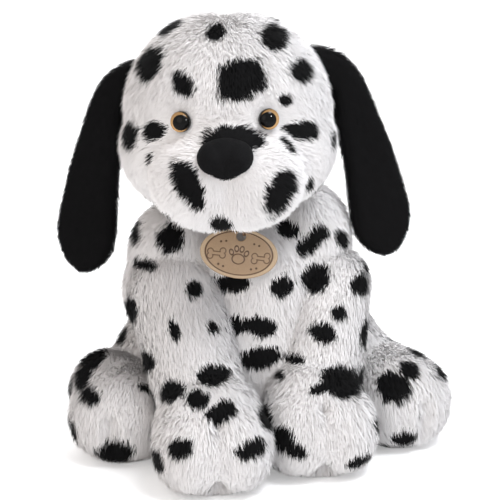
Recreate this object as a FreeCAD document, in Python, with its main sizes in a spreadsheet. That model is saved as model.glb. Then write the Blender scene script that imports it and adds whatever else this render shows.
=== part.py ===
"""A sitting plush dog as an assembly: sewn fur panels, their stuffing, safety eyes, a nose pad,
floppy ears, jointed limbs, a tail and a leather tag.

Millimetres, +Z up. The dog faces -Y, its left side is +X, and the origin is on the floor at
the middle of the flat patch that it sits on.
"""
import math
import os

import FreeCAD
import Part
from FreeCAD import Placement, Rotation, Vector

# Driving sizes: alias, value and what it is. Angles are in degrees.
SIZES = [
    ("fabric", 2.5, "fur fabric with its pile pressed flat"),
    ("clearance", 0.35, "gap between pieces that move on each other"),
    ("belly_radius", 57, "lower ball of the torso"),
    ("seat_press", 5, "how far sitting flattens the belly ball"),
    ("chest_radius", 46, "upper ball of the torso"),
    ("chest_height", 103, "floor to the middle of the chest"),
    ("seat_seam_height", 12, "floor to the seam round the seat panel"),
    ("belly_panel_angle", 116, "width of the belly panel round the torso"),
    ("neck_radius", 22, "neck ball"),
    ("neck_x", -8, "neck to the dog's right of the torso's middle"),
    ("neck_y", -4, "neck in front of the torso's middle"),
    ("neck_rise", 3, "neck ball's middle above the top of the chest"),
    ("head_radius", 58, "skull ball"),
    ("head_sink", 3, "skull reaches this far below the middle of the neck ball"),
    ("head_x", -20, "head's middle"),
    ("head_y", -20, "head's middle"),
    ("head_turn", -10, "head turned to the dog's right"),
    ("head_tilt", -2, "head tilted to the dog's right"),
    ("muzzle_radius", 27, "round of the muzzle"),
    ("muzzle_straight", 30, "straight part across the muzzle"),
    ("muzzle_reach", 46, "muzzle's axis in front of the head's middle"),
    ("muzzle_drop", 28.5, "muzzle's axis below the head's middle"),
    ("chin_seam", 42, "seam between muzzle and chin, below the head's middle"),
    ("gusset_width", 32, "centre band over the head"),
    ("throat_seam", 28, "lower end of the band's front, below the head's middle"),
    ("nose_width", 33, "nose pad"),
    ("nose_tall", 25, "nose pad"),
    ("nose_deep", 20, "nose pad"),
    ("nose_reach", 68, "nose in front of the head's middle"),
    ("nose_drop", 13.5, "nose below the head's middle"),
    ("eye_radius", 6, "safety eye"),
    ("eye_dome", 4.3, "rise of the clear dome"),
    ("eye_base", 1.2, "black back plate"),
    ("eye_stem_radius", 2, "ribbed stem"),
    ("eye_stem_length", 10, "ribbed stem"),
    ("eye_azimuth", 25, "eye to the side of the face's middle"),
    ("eye_lift", 5.5, "eye above the head's middle"),
    ("washer_radius", 7, "locking washer"),
    ("washer_thick", 1.2, "locking washer"),
    ("ear_up", 23, "ear root above the head's middle"),
    ("ear_stagger", 2.5, "left ear higher and right ear lower than that"),
    ("ear_back", 17, "ear root behind the head's middle"),
    ("ear_length", 117, "root to tip"),
    ("ear_width", 38, "widest part of the ear"),
    ("ear_root_radius", 12, "round end of the ear at its seam"),
    ("ear_ply", 4.5, "one layer of the ear"),
    ("ear_edge", 2.5, "rounding of the ear's edge"),
    ("ear_turn", 15, "broad side of the ear turned outwards"),
    ("ear_slot_room", 1.5, "gap round the ear's root where it turns in the head"),
    ("shoulder_radius", 25, "top of the foreleg"),
    ("arm_step", 1.5, "foreleg starts that much thinner than its shoulder"),
    ("shoulder_out", 1, "shoulder's middle outside the chest ball"),
    ("shoulder_x", -3.5, "both shoulders to the dog's right"),
    ("shoulder_y", -14, "shoulder in front of the torso's middle"),
    ("shoulder_drop", 5, "shoulder below the middle of the chest"),
    ("foreleg_raise", 15, "how far a foreleg swings forwards and up"),
    ("ankle_radius", 24, "foreleg above its paw"),
    ("forepaw_radius", 31, "round of the forepaw"),
    ("forepaw_straight", 14, "straight part along the forepaw"),
    ("forepaw_press", 5, "how far the floor flattens the forepaw"),
    ("forepaw_gap", 3, "between the two forepaws"),
    ("forepaw_x", -6.5, "both forepaws to the dog's right"),
    ("forepaw_reach", 66, "forepaw in front of the torso's middle"),
    ("forepaw_stagger", 10, "right forepaw forward and left forepaw back"),
    ("hip_radius", 36, "round of the haunch"),
    ("shank_step", 4, "shank that much thinner than the haunch and the paw"),
    ("hip_in", 13, "haunch's middle inside the belly ball"),
    ("hip_y", 24, "haunch behind the torso's middle"),
    ("hip_lift", 6, "haunch above the floor"),
    ("hindpaw_radius", 28, "round of the hind paw"),
    ("hindpaw_press", 3, "how far the floor flattens the hind paw"),
    ("heel_out", 26, "heel outside the haunch's middle"),
    ("heel_y", 14, "heel behind the torso's middle"),
    ("toe_out", 40, "toes outside the haunch's middle"),
    ("toe_y", -22, "toes in front of the torso's middle"),
    ("tail_root_radius", 11, "tail at its seam"),
    ("tail_tip_radius", 7, "tail tip"),
    ("tail_length", 46, "root to tip, between the middles of their rounds"),
    ("tail_low", 15, "tail's root below the belly's middle"),
    ("tail_rise", 14, "tail's slope"),
    ("tail_step", 2.5, "tail starts that much thinner than its root"),
    ("tail_wag", 20, "how far the tail swings to each side"),
    ("tag_width", 47, "leather tag"),
    ("tag_tall", 30, "leather tag"),
    ("tag_thick", 1.6, "leather tag"),
    ("tag_hole_radius", 2.8, "punched hole"),
    ("tag_hole_edge", 4.6, "hole's middle below the top edge"),
    ("tag_azimuth", 20, "tag to the dog's right of the chest's front"),
    ("tag_elevation", 41, "tag's hole above the chest's middle"),
    ("tag_lean", 22, "top of the tag leans back"),
    ("tag_roll", 6, "dog's left end of the tag hangs lower"),
    ("tag_turn", -12, "tag faces the dog's right"),
    ("loop_radius", 4, "thread loop"),
    ("thread_radius", 0.7, "thread of the loop"),
]

doc = FreeCAD.newDocument("plush_dog")
sheet = doc.addObject("Spreadsheet::Sheet", "sizes")
for row, (alias, value, note) in enumerate(SIZES, start=1):
    sheet.set(f"A{row}", alias)
    sheet.set(f"B{row}", str(value))
    sheet.setAlias(f"B{row}", alias)
    sheet.set(f"C{row}", note)
doc.recompute()


def size(alias):
    return float(sheet.get(alias))


PIECES = []
RIGHT, LEFT = -1, 1
SIDES = {RIGHT: "right", LEFT: "left"}
LARGE = 400  # reach of the blocks that only divide or trim other shapes


def piece(shape_object, name, frame=None):
    """Marks an object as a real piece of the toy and puts it in its place."""
    shape_object.Label = name
    if frame is not None:
        shape_object.Placement = frame
    PIECES.append(shape_object)
    return shape_object


def bound(kind, name, frame=None, **expressions):
    """A primitive whose sizes follow the sheet."""
    made = doc.addObject(kind, name)
    for prop, expression in expressions.items():
        made.setExpression(prop, expression)
    if frame is not None:
        made.Placement = frame
    return made


def fuse(name, shapes):
    made = doc.addObject("Part::MultiFuse", name)
    made.Shapes = shapes
    return made


def cut(name, base, tool):
    made = doc.addObject("Part::Cut", name)
    made.Base = base
    made.Tool = tool
    return made


def common(name, base, tool):
    made = doc.addObject("Part::Common", name)
    made.Base = base
    made.Tool = tool
    return made


def at(x, y, z):
    return Placement(Vector(x, y, z), Rotation())


def pointing(start, end):
    """A frame at start whose Z runs to end."""
    return Placement(start, Rotation(Vector(0, 0, 1), end - start))


def ball(name, radius, centre):
    return bound("Part::Sphere", name, at(*centre), Radius=radius)


def rod(name, radius, start, end):
    made = bound("Part::Cylinder", name, pointing(start, end), Radius=radius)
    made.Height = (end - start).Length
    return made


def taper(name, first, last, start, end):
    made = bound("Part::Cone", name, pointing(start, end), Radius1=first, Radius2=last)
    made.Height = (end - start).Length
    return made


def block(name, low, high):
    made = doc.addObject("Part::Box", name)
    made.Length, made.Width, made.Height = (high[i] - low[i] for i in range(3))
    made.Placement = at(*low)
    return made


def above(name, height):
    return block(name, (-LARGE, -LARGE, height), (LARGE, LARGE, LARGE))


# How a shape differs from the outside of the fur fabric.
OUTSIDE = "0"
INSIDE = "-sizes.fabric"
ROOM = "sizes.clearance"
ROOM_AND_FABRIC = "sizes.clearance + sizes.fabric"

# ---- places that several pieces share -------------------------------------------------------
belly = Vector(0, 0, size("belly_radius") - size("seat_press"))
chest = Vector(0, 0, size("chest_height"))
neck = Vector(
    size("neck_x"),
    size("neck_y"),
    size("chest_height") + size("chest_radius") + size("neck_rise"),
)
head = Placement(
    Vector(size("head_x"), size("head_y"), neck.z + size("head_radius") - size("head_sink")),
    Rotation(Vector(0, 0, 1), size("head_turn")) * Rotation(Vector(0, 1, 0), size("head_tilt")),
)
neck_in_head = head.inverse().multVec(neck)
low_tail = math.radians(size("tail_low"))
tail_root = belly + Vector(0, math.cos(low_tail), -math.sin(low_tail)) * size("belly_radius")
tail_slope = math.radians(size("tail_rise"))
tail_tip = tail_root + Vector(0, math.cos(tail_slope), math.sin(tail_slope)) * size("tail_length")


def shoulder(side):
    x = size("shoulder_x") + side * (size("chest_radius") + size("shoulder_out"))
    return chest + Vector(x, size("shoulder_y"), -size("shoulder_drop"))


def forepaw(side):
    """Heel and toe ends of the straight part of a forepaw."""
    x = size("forepaw_x") + side * (size("forepaw_radius") + size("forepaw_gap") / 2)
    y = -size("forepaw_reach") + side * size("forepaw_stagger")
    z = size("forepaw_radius") - size("forepaw_press")
    half = size("forepaw_straight") / 2
    return Vector(x, y + half, z), Vector(x, y - half, z)


def hip(side):
    return Vector(
        side * (size("belly_radius") - size("hip_in")),
        size("hip_y"),
        size("hip_radius") + size("hip_lift"),
    )


def hindpaw(side):
    """Heel and toe of a hind paw."""
    z = size("hindpaw_radius") - size("hindpaw_press")
    x = size("belly_radius") - size("hip_in")
    heel = Vector(side * (x + size("heel_out")), size("heel_y"), z)
    toe = Vector(side * (x + size("toe_out")), size("toe_y"), z)
    return heel, toe


# ---- soft forms, each made for the outside, the inside and the room round it -----------------
def torso_form(name, grow):
    """Two balls and the cone that touches both."""
    slope = math.asin((size("belly_radius") - size("chest_radius")) / (chest - belly).Length)
    inset = {OUTSIDE: 0, INSIDE: -size("fabric")}[grow]
    low = belly + Vector(0, 0, (size("belly_radius") + inset) * math.sin(slope))
    high = chest + Vector(0, 0, (size("chest_radius") + inset) * math.sin(slope))
    radii = [f"(sizes.{end}_radius + {grow}) * {math.cos(slope)}" for end in ("belly", "chest")]
    shapes = [
        ball(name + "_belly", f"sizes.belly_radius + {grow}", belly),
        taper(name + "_side", *radii, low, high),
        ball(name + "_chest", f"sizes.chest_radius + {grow}", chest),
    ]
    return fuse(name, shapes)


def foreleg_form(name, side, grow):
    heel, toe = forepaw(side)
    paw = f"sizes.forepaw_radius + {grow}"
    shapes = [
        ball(name + "_shoulder", f"sizes.shoulder_radius + {grow}", shoulder(side)),
        taper(
            name + "_arm",
            f"sizes.shoulder_radius - sizes.arm_step + {grow}",
            f"sizes.ankle_radius + {grow}",
            shoulder(side),
            (heel + toe) * 0.5,
        ),
        ball(name + "_heel", paw, heel),
        rod(name + "_paw", paw, heel, toe),
        ball(name + "_toe", paw, toe),
    ]
    return fuse(name, shapes)


def hindleg_form(name, side, grow):
    heel, toe = hindpaw(side)
    paw = f"sizes.hindpaw_radius + {grow}"
    shapes = [
        ball(name + "_haunch", f"sizes.hip_radius + {grow}", hip(side)),
        taper(
            name + "_shank",
            f"sizes.hip_radius - sizes.shank_step + {grow}",
            f"sizes.hindpaw_radius - sizes.shank_step + {grow}",
            hip(side),
            heel,
        ),
    ]
    foot = [
        ball(name + "_heel", paw, heel),
        rod(name + "_paw", paw, heel, toe),
        ball(name + "_toe", paw, toe),
    ]
    return fuse(name, [fuse(name + "_leg", shapes), fuse(name + "_foot", foot)])


def tail_form(name, grow):
    shapes = [
        ball(name + "_root", f"sizes.tail_root_radius + {grow}", tail_root),
        taper(
            name + "_length",
            f"sizes.tail_root_radius - sizes.tail_step + {grow}",
            f"sizes.tail_tip_radius + {grow}",
            tail_root,
            tail_tip,
        ),
        ball(name + "_tip", f"sizes.tail_tip_radius + {grow}", tail_tip),
    ]
    return fuse(name, shapes)


def muzzle_form(name, grow):
    """A rod across the face with round ends, in the head's own frame."""
    half = size("muzzle_straight") / 2
    ends = [Vector(s * half, -size("muzzle_reach"), -size("muzzle_drop")) for s in SIDES]
    radius = f"sizes.muzzle_radius + {grow}"
    shapes = [ball(f"{name}_{word}", radius, end) for word, end in zip(SIDES.values(), ends)]
    return fuse(name, shapes + [rod(name + "_front", radius, *ends)])


# ---- limbs and tail --------------------------------------------------------------------------
def soft_pair(name, form):
    """The fur skin of one stuffed part and the stuffing that fills it."""
    outside = common(name + "_outside", form(name + "_outer", OUTSIDE), above(name + "_floor", 0))
    inside = common(
        name + "_inside",
        form(name + "_inner", INSIDE),
        above(name + "_sole", size("fabric")),
    )
    piece(cut(name + "_skin", outside, inside), name + "_fur")
    piece(inside, name + "_stuffing")


for side, word in SIDES.items():
    soft_pair(f"foreleg_{word}", lambda name, grow: foreleg_form(name, side, grow))
    soft_pair(f"hind_leg_{word}", lambda name, grow: hindleg_form(name, side, grow))
soft_pair("tail", tail_form)


# ---- torso and neck --------------------------------------------------------------------------
def foreleg_room(name, side, grow):
    """The shoulder and paw, and an arm as wide as its own swing."""
    heel, toe = forepaw(side)
    half_swing = size("foreleg_raise") / 2
    reach = (heel + toe) * 0.5 - shoulder(side)
    middle = Rotation(Vector(1, 0, 0), -half_swing).multVec(reach)
    spread = reach.Length * math.sin(math.radians(half_swing))
    paw = f"sizes.forepaw_radius + {grow}"
    shapes = [
        ball(name + "_shoulder", f"sizes.shoulder_radius + {grow}", shoulder(side)),
        taper(
            name + "_arm",
            f"sizes.shoulder_radius - sizes.arm_step + {grow}",
            f"sizes.ankle_radius + {spread} + {grow}",
            shoulder(side),
            shoulder(side) + middle,
        ),
        ball(name + "_heel", paw, heel),
        rod(name + "_paw", paw, heel, toe),
    ]
    return fuse(name, shapes)


def tail_room(name, grow):
    """The tail's root and a cone as wide as its wag."""
    spread = size("tail_length") * math.sin(math.radians(size("tail_wag")))
    shapes = [
        ball(name + "_root", f"sizes.tail_root_radius + {grow}", tail_root),
        taper(
            name + "_length",
            f"sizes.tail_root_radius - sizes.tail_step + {grow}",
            f"sizes.tail_tip_radius + {spread} + {grow}",
            tail_root,
            tail_tip,
        ),
    ]
    return fuse(name, shapes)


def room_for_limbs(name, grow):
    """All that the limbs, tail and neck need over their whole travel."""
    tools = [ball(name + "_neck", f"sizes.neck_radius + {grow}", neck), tail_room(name + "_tail", grow)]
    for side, word in SIDES.items():
        tools.append(foreleg_room(f"{name}_foreleg_{word}", side, grow))
        tools.append(hindleg_form(f"{name}_hind_leg_{word}", side, grow))
    return tools


def carved(name, base, tools):
    """Takes the tools away one after the other."""
    for number, tool in enumerate(tools):
        base = cut(f"{name}_{number}", base, tool)
    return base


torso_inside = common(
    "torso_inside",
    torso_form("torso_inner", INSIDE),
    above("torso_sole", size("fabric")),
)
filling_room = room_for_limbs("filling_room", ROOM_AND_FABRIC)
torso_filling = carved("torso_filling", torso_inside, filling_room)
piece(torso_filling, "torso_stuffing")
torso_on_floor = common("torso_on_floor", torso_form("torso_form", OUTSIDE), above("torso_floor", 0))
torso_outside = carved("torso_outside", torso_on_floor, room_for_limbs("torso_room", ROOM))
torso_fabric = cut("torso_fabric", torso_outside, torso_filling)


def panel_region(name, start, angle):
    """A wedge round the torso's axis, above the seat seam."""
    made = doc.addObject("Part::Cylinder", name)
    made.Radius = made.Height = LARGE
    made.setExpression("Angle", angle)
    seam = Vector(0, 0, size("seat_seam_height"))
    made.Placement = Placement(seam, Rotation(Vector(0, 0, 1), start))
    return made


front = -90 - size("belly_panel_angle") / 2
seat_seam = size("seat_seam_height")
back_angle = "(360 - sizes.belly_panel_angle) / 2"
torso_regions = {
    "belly_panel": panel_region("belly_region", front, "sizes.belly_panel_angle"),
    "back_panel_left": panel_region("back_left_region", -front - 180, back_angle),
    "back_panel_right": panel_region("back_right_region", 90, back_angle),
    "seat_panel": block("seat_region", (-LARGE, -LARGE, -1), (LARGE, LARGE, seat_seam)),
}
for name, region in torso_regions.items():
    piece(common(name + "_cloth", torso_fabric, region), name)

neck_outer = ball("neck_outer", "sizes.neck_radius", neck)
neck_inner = ball("neck_inner", "sizes.neck_radius - sizes.fabric", neck)
piece(cut("neck_skin", neck_outer, neck_inner), "neck_fur")
piece(neck_inner, "neck_stuffing")

# ---- head: everything below is made in the head's own frame and then put in place --------------
skull = (0, 0, 0)


def ear_frame(side):
    """Frame of an ear: X outwards, Y through its thickness, at the middle of its root."""
    up, back = size("ear_up") + side * size("ear_stagger"), size("ear_back")
    out = math.sqrt(size("head_radius") ** 2 - up**2 - back**2)
    turn = Rotation(Vector(0, 0, 1), side * size("ear_turn"))
    return Placement(Vector(side * out, back, up), turn)


def ear_slot(name, side, grow):
    """Round pocket in the side of the head that takes the ear's root."""
    radius = f"sizes.ear_root_radius + sizes.ear_slot_room + {grow}"
    made = bound("Part::Cylinder", name, Radius=radius)
    made.setExpression("Height", f"2 * (sizes.ear_ply + {grow})")
    half = size("ear_ply") + size("clearance") + {ROOM: 0, ROOM_AND_FABRIC: size("fabric")}[grow]
    lying = Placement(Vector(0, half, 0), Rotation(Vector(1, 0, 0), 90))
    made.Placement = ear_frame(side).multiply(lying)
    return made


def room_in_head(name, grow):
    tools = [ball(name + "_neck", f"sizes.neck_radius + {grow}", neck_in_head)]
    tools += [ear_slot(f"{name}_ear_{word}", side, grow) for side, word in SIDES.items()]
    return fuse(name, tools)


def head_form(name, grow):
    whole_ball = ball(name + "_skull", f"sizes.head_radius + {grow}", skull)
    return fuse(name, [whole_ball, muzzle_form(name + "_muzzle", grow)])


head_core = cut(
    "head_core",
    head_form("head_inner", INSIDE),
    room_in_head("head_inner_room", ROOM_AND_FABRIC),
)
skull_ball = ball("skull_ball", "sizes.head_radius", skull)
head_room = room_in_head("head_room", ROOM)
skull_cloth = cut("skull_cloth", cut("skull_outside", skull_ball, head_room), head_core)
muzzle_outside = cut("muzzle_outside", muzzle_form("muzzle_form", OUTSIDE), skull_ball)
muzzle_cloth = cut("muzzle_cloth", muzzle_outside, head_core)


def eye_frame(side):
    """Frame of an eye: Z out of the face, at the fabric's surface."""
    azimuth, lift = math.radians(size("eye_azimuth")), math.radians(size("eye_lift"))
    sideways = side * math.cos(lift) * math.sin(azimuth)
    out = Vector(sideways, -math.cos(lift) * math.cos(azimuth), math.sin(lift))
    return Placement(out * size("head_radius"), Rotation(Vector(0, 0, 1), out))


def along(frame, distance):
    return frame.multiply(at(0, 0, distance))


half_band = size("gusset_width") / 2
throat = -size("throat_seam")
regions = {
    "side_face_left": block("left_region", (half_band, -LARGE, -LARGE), (LARGE, LARGE, LARGE)),
    "side_face_right": block("right_region", (-LARGE, -LARGE, -LARGE), (-half_band, LARGE, LARGE)),
    "throat_panel": block("throat_region", (-half_band, -LARGE, -LARGE), (half_band, 0, throat)),
    "head_gusset": fuse(
        "gusset_region",
        [
            block("gusset_top", (-half_band, -LARGE, throat), (half_band, LARGE, LARGE)),
            block("gusset_back", (-half_band, 0, -LARGE), (half_band, LARGE, throat)),
        ],
    ),
}
for name, region in regions.items():
    cloth = common(name + "_cloth", skull_cloth, region)
    if name.startswith("side_face"):
        side = LEFT if name.endswith("left") else RIGHT
        hole_radius = "sizes.eye_stem_radius + sizes.clearance"
        hole = bound("Part::Cylinder", name + "_hole", Radius=hole_radius)
        hole.Height = 4 * size("fabric")
        hole.Placement = along(eye_frame(side), -2 * size("fabric"))
        cloth = cut(name + "_pierced", cloth, hole)
    piece(cloth, name, head)
chin = -size("chin_seam")
upper = block("muzzle_region", (-LARGE, -LARGE, chin), (LARGE, LARGE, LARGE))
lower = block("chin_region", (-LARGE, -LARGE, -LARGE), (LARGE, LARGE, chin))
piece(common("muzzle_upper", muzzle_cloth, upper), "muzzle_panel", head)
piece(common("muzzle_lower", muzzle_cloth, lower), "chin_panel", head)

eye_pockets = []
for side, word in SIDES.items():
    frame = eye_frame(side)
    plate = bound(
        "Part::Cylinder",
        f"eye_plate_{word}",
        frame,
        Radius="sizes.eye_radius",
        Height="sizes.eye_base",
    )
    stem = bound(
        "Part::Cylinder",
        f"eye_stem_{word}",
        along(frame, -size("eye_stem_length")),
        Radius="sizes.eye_stem_radius",
        Height="sizes.eye_stem_length",
    )
    piece(fuse(f"eye_back_{word}", [plate, stem]), f"eye_base_{word}", head)

    rise, radius = size("eye_dome"), size("eye_radius")
    curve = (radius**2 + rise**2) / (2 * rise)
    dome = doc.addObject("Part::Sphere", f"eye_clear_{word}")
    dome.setExpression("Radius", "(sizes.eye_radius ^ 2 / sizes.eye_dome + sizes.eye_dome) / 2")
    dome.Angle1 = math.degrees(math.asin((curve - rise) / curve))
    dome_frame = along(frame, size("eye_base") + rise - curve)
    piece(dome, f"eye_dome_{word}", head.multiply(dome_frame))

    inner = size("head_radius") - size("fabric")
    washer_top = math.sqrt(inner**2 - size("washer_radius") ** 2) - size("head_radius")
    washer = bound(
        "Part::Cylinder",
        f"washer_disc_{word}",
        along(frame, washer_top - size("washer_thick")),
        Radius="sizes.washer_radius",
        Height="sizes.washer_thick",
    )
    bore = bound(
        "Part::Cylinder",
        f"washer_bore_{word}",
        along(frame, washer_top - 2 * size("washer_thick")),
        Radius="sizes.eye_stem_radius",
        Height="sizes.washer_thick * 3",
    )
    piece(cut(f"washer_ring_{word}", washer, bore), f"eye_washer_{word}", head)

    pocket_radius = "sizes.washer_radius + sizes.clearance"
    pocket = bound("Part::Cylinder", f"eye_pocket_{word}", Radius=pocket_radius)
    pocket.Height = size("eye_stem_length") + size("fabric")
    pocket.Placement = along(frame, -size("eye_stem_length") - size("clearance"))
    eye_pockets.append(pocket)
head_filling = cut("head_filling", head_core, fuse("eye_pockets", eye_pockets))
piece(head_filling, "head_stuffing", head)

nose = bound(
    "Part::Ellipsoid",
    "nose_round",
    at(0, -size("nose_reach"), -size("nose_drop")),
    Radius1="sizes.nose_tall / 2",
    Radius2="sizes.nose_width / 2",
    Radius3="sizes.nose_deep / 2",
)
piece(cut("nose_seated", nose, head_form("nose_seat", OUTSIDE)), "nose_pad", head)


# ---- ears: two layers sewn together round their edge ---------------------------------------------
def ear_outline(side):
    """Edge of the ear: a round root, a narrow neck and a broad, round end."""
    long, wide, root = size("ear_length"), size("ear_width"), size("ear_root_radius")
    swing = 0.31 * long  # the ear hangs further out at its tip
    edge = [
        (-root, 0),
        (-0.5 * root, 0.87 * root),
        (0.6 * root, 0.8 * root),
        (0.62 * wide, -0.02 * long),
        (0.92 * wide, -0.22 * long),
        (swing + 0.2 * wide, -0.42 * long),
        (swing + 0.42 * wide, -0.66 * long),
        (swing + 0.48 * wide, -0.86 * long),
        (swing + 0.14 * wide, -long),
        (swing - 0.22 * wide, -0.95 * long),
        (swing - 0.42 * wide, -0.76 * long),
        (swing - 0.5 * wide, -0.5 * long),
        (0.33 * wide, -0.27 * long),
        (0.5 * root, -0.85 * root),
        (-0.6 * root, -0.8 * root),
    ]
    curve = Part.BSplineCurve()
    curve.interpolate([Vector(side * x, z, 0) for x, z in edge], PeriodicFlag=True)
    return curve


def origin_plane(body, role):
    return next(plane for plane in body.Origin.OriginFeatures if plane.Role == role)


def padded_body(name, geometry, plane, length, backwards=False):
    """A body with one closed sketch and one pad."""
    body = doc.addObject("PartDesign::Body", name + "_body")
    sketch = body.newObject("Sketcher::SketchObject", name + "_sketch")
    sketch.AttachmentSupport = [(origin_plane(body, plane), "")]
    sketch.MapMode = "FlatFace"
    for item in geometry:
        sketch.addGeometry(item, False)
    pad = body.newObject("PartDesign::Pad", name + "_pad")
    pad.Profile = sketch
    pad.setExpression("Length", length)
    pad.Reversed = backwards
    doc.recompute()
    return body, pad


def rounded(body, pad, radius, chosen):
    """Rounds the edges that chosen picks."""
    fillet = body.newObject("PartDesign::Fillet", pad.Name + "_edge")
    names = [f"Edge{i}" for i, edge in enumerate(pad.Shape.Edges, start=1) if chosen(edge)]
    fillet.Base = (pad, names)
    fillet.setExpression("Radius", radius)
    doc.recompute()
    return fillet


for side, word in SIDES.items():
    for layer, direction in (("front", -1), ("back", 1)):
        name = f"ear_{word}_{layer}"
        # The XZ plane's own normal is -Y, so a pad that isn't reversed grows to the front.
        edge = [ear_outline(side)]
        body, pad = padded_body(name, edge, "XZ_Plane", "sizes.ear_ply", direction > 0)
        face_y = direction * size("ear_ply")
        rounded(body, pad, "sizes.ear_edge", lambda rim: abs(rim.CenterOfMass.y - face_y) < 0.01)
        piece(body, name, head.multiply(ear_frame(side)))

# ---- tag and the thread loop that holds it ---------------------------------------------------
azimuth, lift = math.radians(size("tag_azimuth")), math.radians(size("tag_elevation"))
level = Vector(-math.sin(azimuth), -math.cos(azimuth), 0)
loop_reach = size("chest_radius") + size("loop_radius") + size("thread_radius") + size("clearance")
hole_out = math.sqrt(loop_reach**2 - size("loop_radius") ** 2)
thread_at = chest + (level * math.cos(lift) + Vector(0, 0, math.sin(lift))) * hole_out
loop_lift = lift + math.asin(size("loop_radius") / loop_reach)
loop_middle = chest + (level * math.cos(loop_lift) + Vector(0, 0, math.sin(loop_lift))) * loop_reach
across = Vector(0, 0, 1).cross(level)
loop = bound("Part::Torus", "loop", Radius1="sizes.loop_radius", Radius2="sizes.thread_radius")
piece(loop, "tag_loop", Placement(loop_middle, Rotation(Vector(0, 0, 1), across)))

tag_face = Rotation(Vector(0, 0, 1), size("tag_turn")) * Rotation(Vector(1, 0, 0), -size("tag_lean"))
thread_over_hole = size("tag_hole_radius") - size("thread_radius") - 2 * size("clearance")
hole_down = size("tag_tall") / 2 - size("tag_hole_edge")
outline = Part.Ellipse(Vector(0, 0, 0), size("tag_width") / 2, size("tag_tall") / 2)
tag_hole = Part.Circle(Vector(0, hole_down, 0), Vector(0, 0, 1), size("tag_hole_radius"))
tag, pad = padded_body("tag", [outline, tag_hole], "XZ_Plane", "sizes.tag_thick")
rounded(tag, pad, "sizes.tag_thick / 4", lambda edge: edge.Length > 4 * size("tag_tall") / 2)
centre = Placement(Vector(0, size("tag_thick") / 2, -hole_down - thread_over_hole), Rotation())
roll = Rotation(Vector(0, 1, 0), size("tag_roll"))
piece(tag, "leather_tag", Placement(thread_at, tag_face * roll).multiply(centre))

# ---- check and write -------------------------------------------------------------------------
doc.recompute()
for thing in doc.Objects:
    if {"Invalid", "Error"} & set(thing.State):
        raise RuntimeError(f"{thing.Label} failed: {thing.State}")
os.makedirs("parts", exist_ok=True)
for thing in PIECES:
    shape = thing.Shape
    if shape.isNull() or not shape.isValid():
        raise RuntimeError(f"{thing.Label} has no valid shape")
    shape.exportStep(f"parts/{thing.Label}.step")
    box = shape.optimalBoundingBox()
    spans = (
        f"{axis} {low:6.1f} {high:6.1f}"
        for axis, low, high in (
            ("x", box.XMin, box.XMax),
            ("y", box.YMin, box.YMax),
            ("z", box.ZMin, box.ZMax),
        )
    )
    print(f"{thing.Label:22s} {len(shape.Solids)} {shape.Volume:9.0f}", *spans)
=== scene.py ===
"""Plush dog: fur, face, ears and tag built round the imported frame."""
import math

import bmesh
import bpy
import numpy as np
from bpy.props import FloatProperty, FloatVectorProperty, IntProperty, PointerProperty
from mathutils import Euler, Matrix, Vector, noise
from mathutils.bvhtree import BVHTree


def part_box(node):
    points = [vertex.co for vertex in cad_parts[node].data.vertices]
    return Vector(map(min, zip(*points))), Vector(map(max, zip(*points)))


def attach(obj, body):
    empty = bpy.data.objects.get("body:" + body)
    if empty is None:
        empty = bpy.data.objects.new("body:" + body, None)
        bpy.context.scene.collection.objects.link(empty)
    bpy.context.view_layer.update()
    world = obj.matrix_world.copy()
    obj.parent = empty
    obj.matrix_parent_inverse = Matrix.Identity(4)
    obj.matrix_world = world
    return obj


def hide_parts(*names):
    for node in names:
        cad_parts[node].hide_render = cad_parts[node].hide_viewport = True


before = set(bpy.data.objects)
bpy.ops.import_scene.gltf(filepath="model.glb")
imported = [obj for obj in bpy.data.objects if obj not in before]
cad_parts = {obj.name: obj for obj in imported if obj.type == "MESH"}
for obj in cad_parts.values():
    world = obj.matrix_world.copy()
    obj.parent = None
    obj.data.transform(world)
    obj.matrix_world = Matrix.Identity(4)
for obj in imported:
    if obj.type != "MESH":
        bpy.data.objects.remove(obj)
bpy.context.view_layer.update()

bl_info = {
    "name": "Plush Dog",
    "version": (1, 0, 0),
    "blender": (4, 5, 0),
    "location": "View3D > Sidebar > Plush Dog",
    "description": "Builds a sitting plush dog with spotted fur",
    "category": "Object",
}

MM = 0.001
RIGHT, LEFT = -1, 1
SIDES = {RIGHT: "right", LEFT: "left"}

# ---- forms, in millimetres, as the part's source has them -------------------------------------
BELLY, BELLY_RADIUS = (0, 0, 52), 57
CHEST, CHEST_RADIUS = (0, 0, 103), 46
SHOULDERS_AND_BACK = (
    ((-47, 0, 115), (28, 29, 33)),
    ((-49, 4, 94), (29, 28, 33)),
    ((31, 1, 121), (25, 28, 35)),
    ((-6, 9, 113), (38, 27, 30)),
)
NECK, NECK_RADIUS = (-8, -4, 152), 22
HEAD, HEAD_RADIUS = (-20, -20, 207), 58
HEAD_FRAME = (
    Matrix.Translation(Vector(HEAD) * MM)
    @ Matrix.Rotation(math.radians(-10), 4, "Z")
    @ Matrix.Rotation(math.radians(-2), 4, "Y")
)
MUZZLE, MUZZLE_HALF, MUZZLE_RADIUS = (0, -46, -28.5), 15, 27
EYE_AZIMUTH, EYE_LIFT, EYE_RADIUS = math.radians(25), math.radians(5.5), 6
NOSE = (0, -68, -13.5)
SHOULDER = {RIGHT: (-50.5, -14, 98), LEFT: (43.5, -14, 98)}
SHOULDER_RADIUS, ANKLE_RADIUS = 25, 24
FOREPAW = {RIGHT: (-39, -76, 26), LEFT: (26, -56, 26)}
FOREPAW_RADIUS, FOREPAW_HALF = 31, 7
HIP, HIP_RADIUS = (44, 24, 42), 36
HEEL, TOE, HINDPAW_RADIUS = (70, 14, 25), (84, -22, 25), 28
TAIL_ROOT, TAIL_TIP = (0, 55.1, 37.2), (0, 99.7, 48.4)

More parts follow.
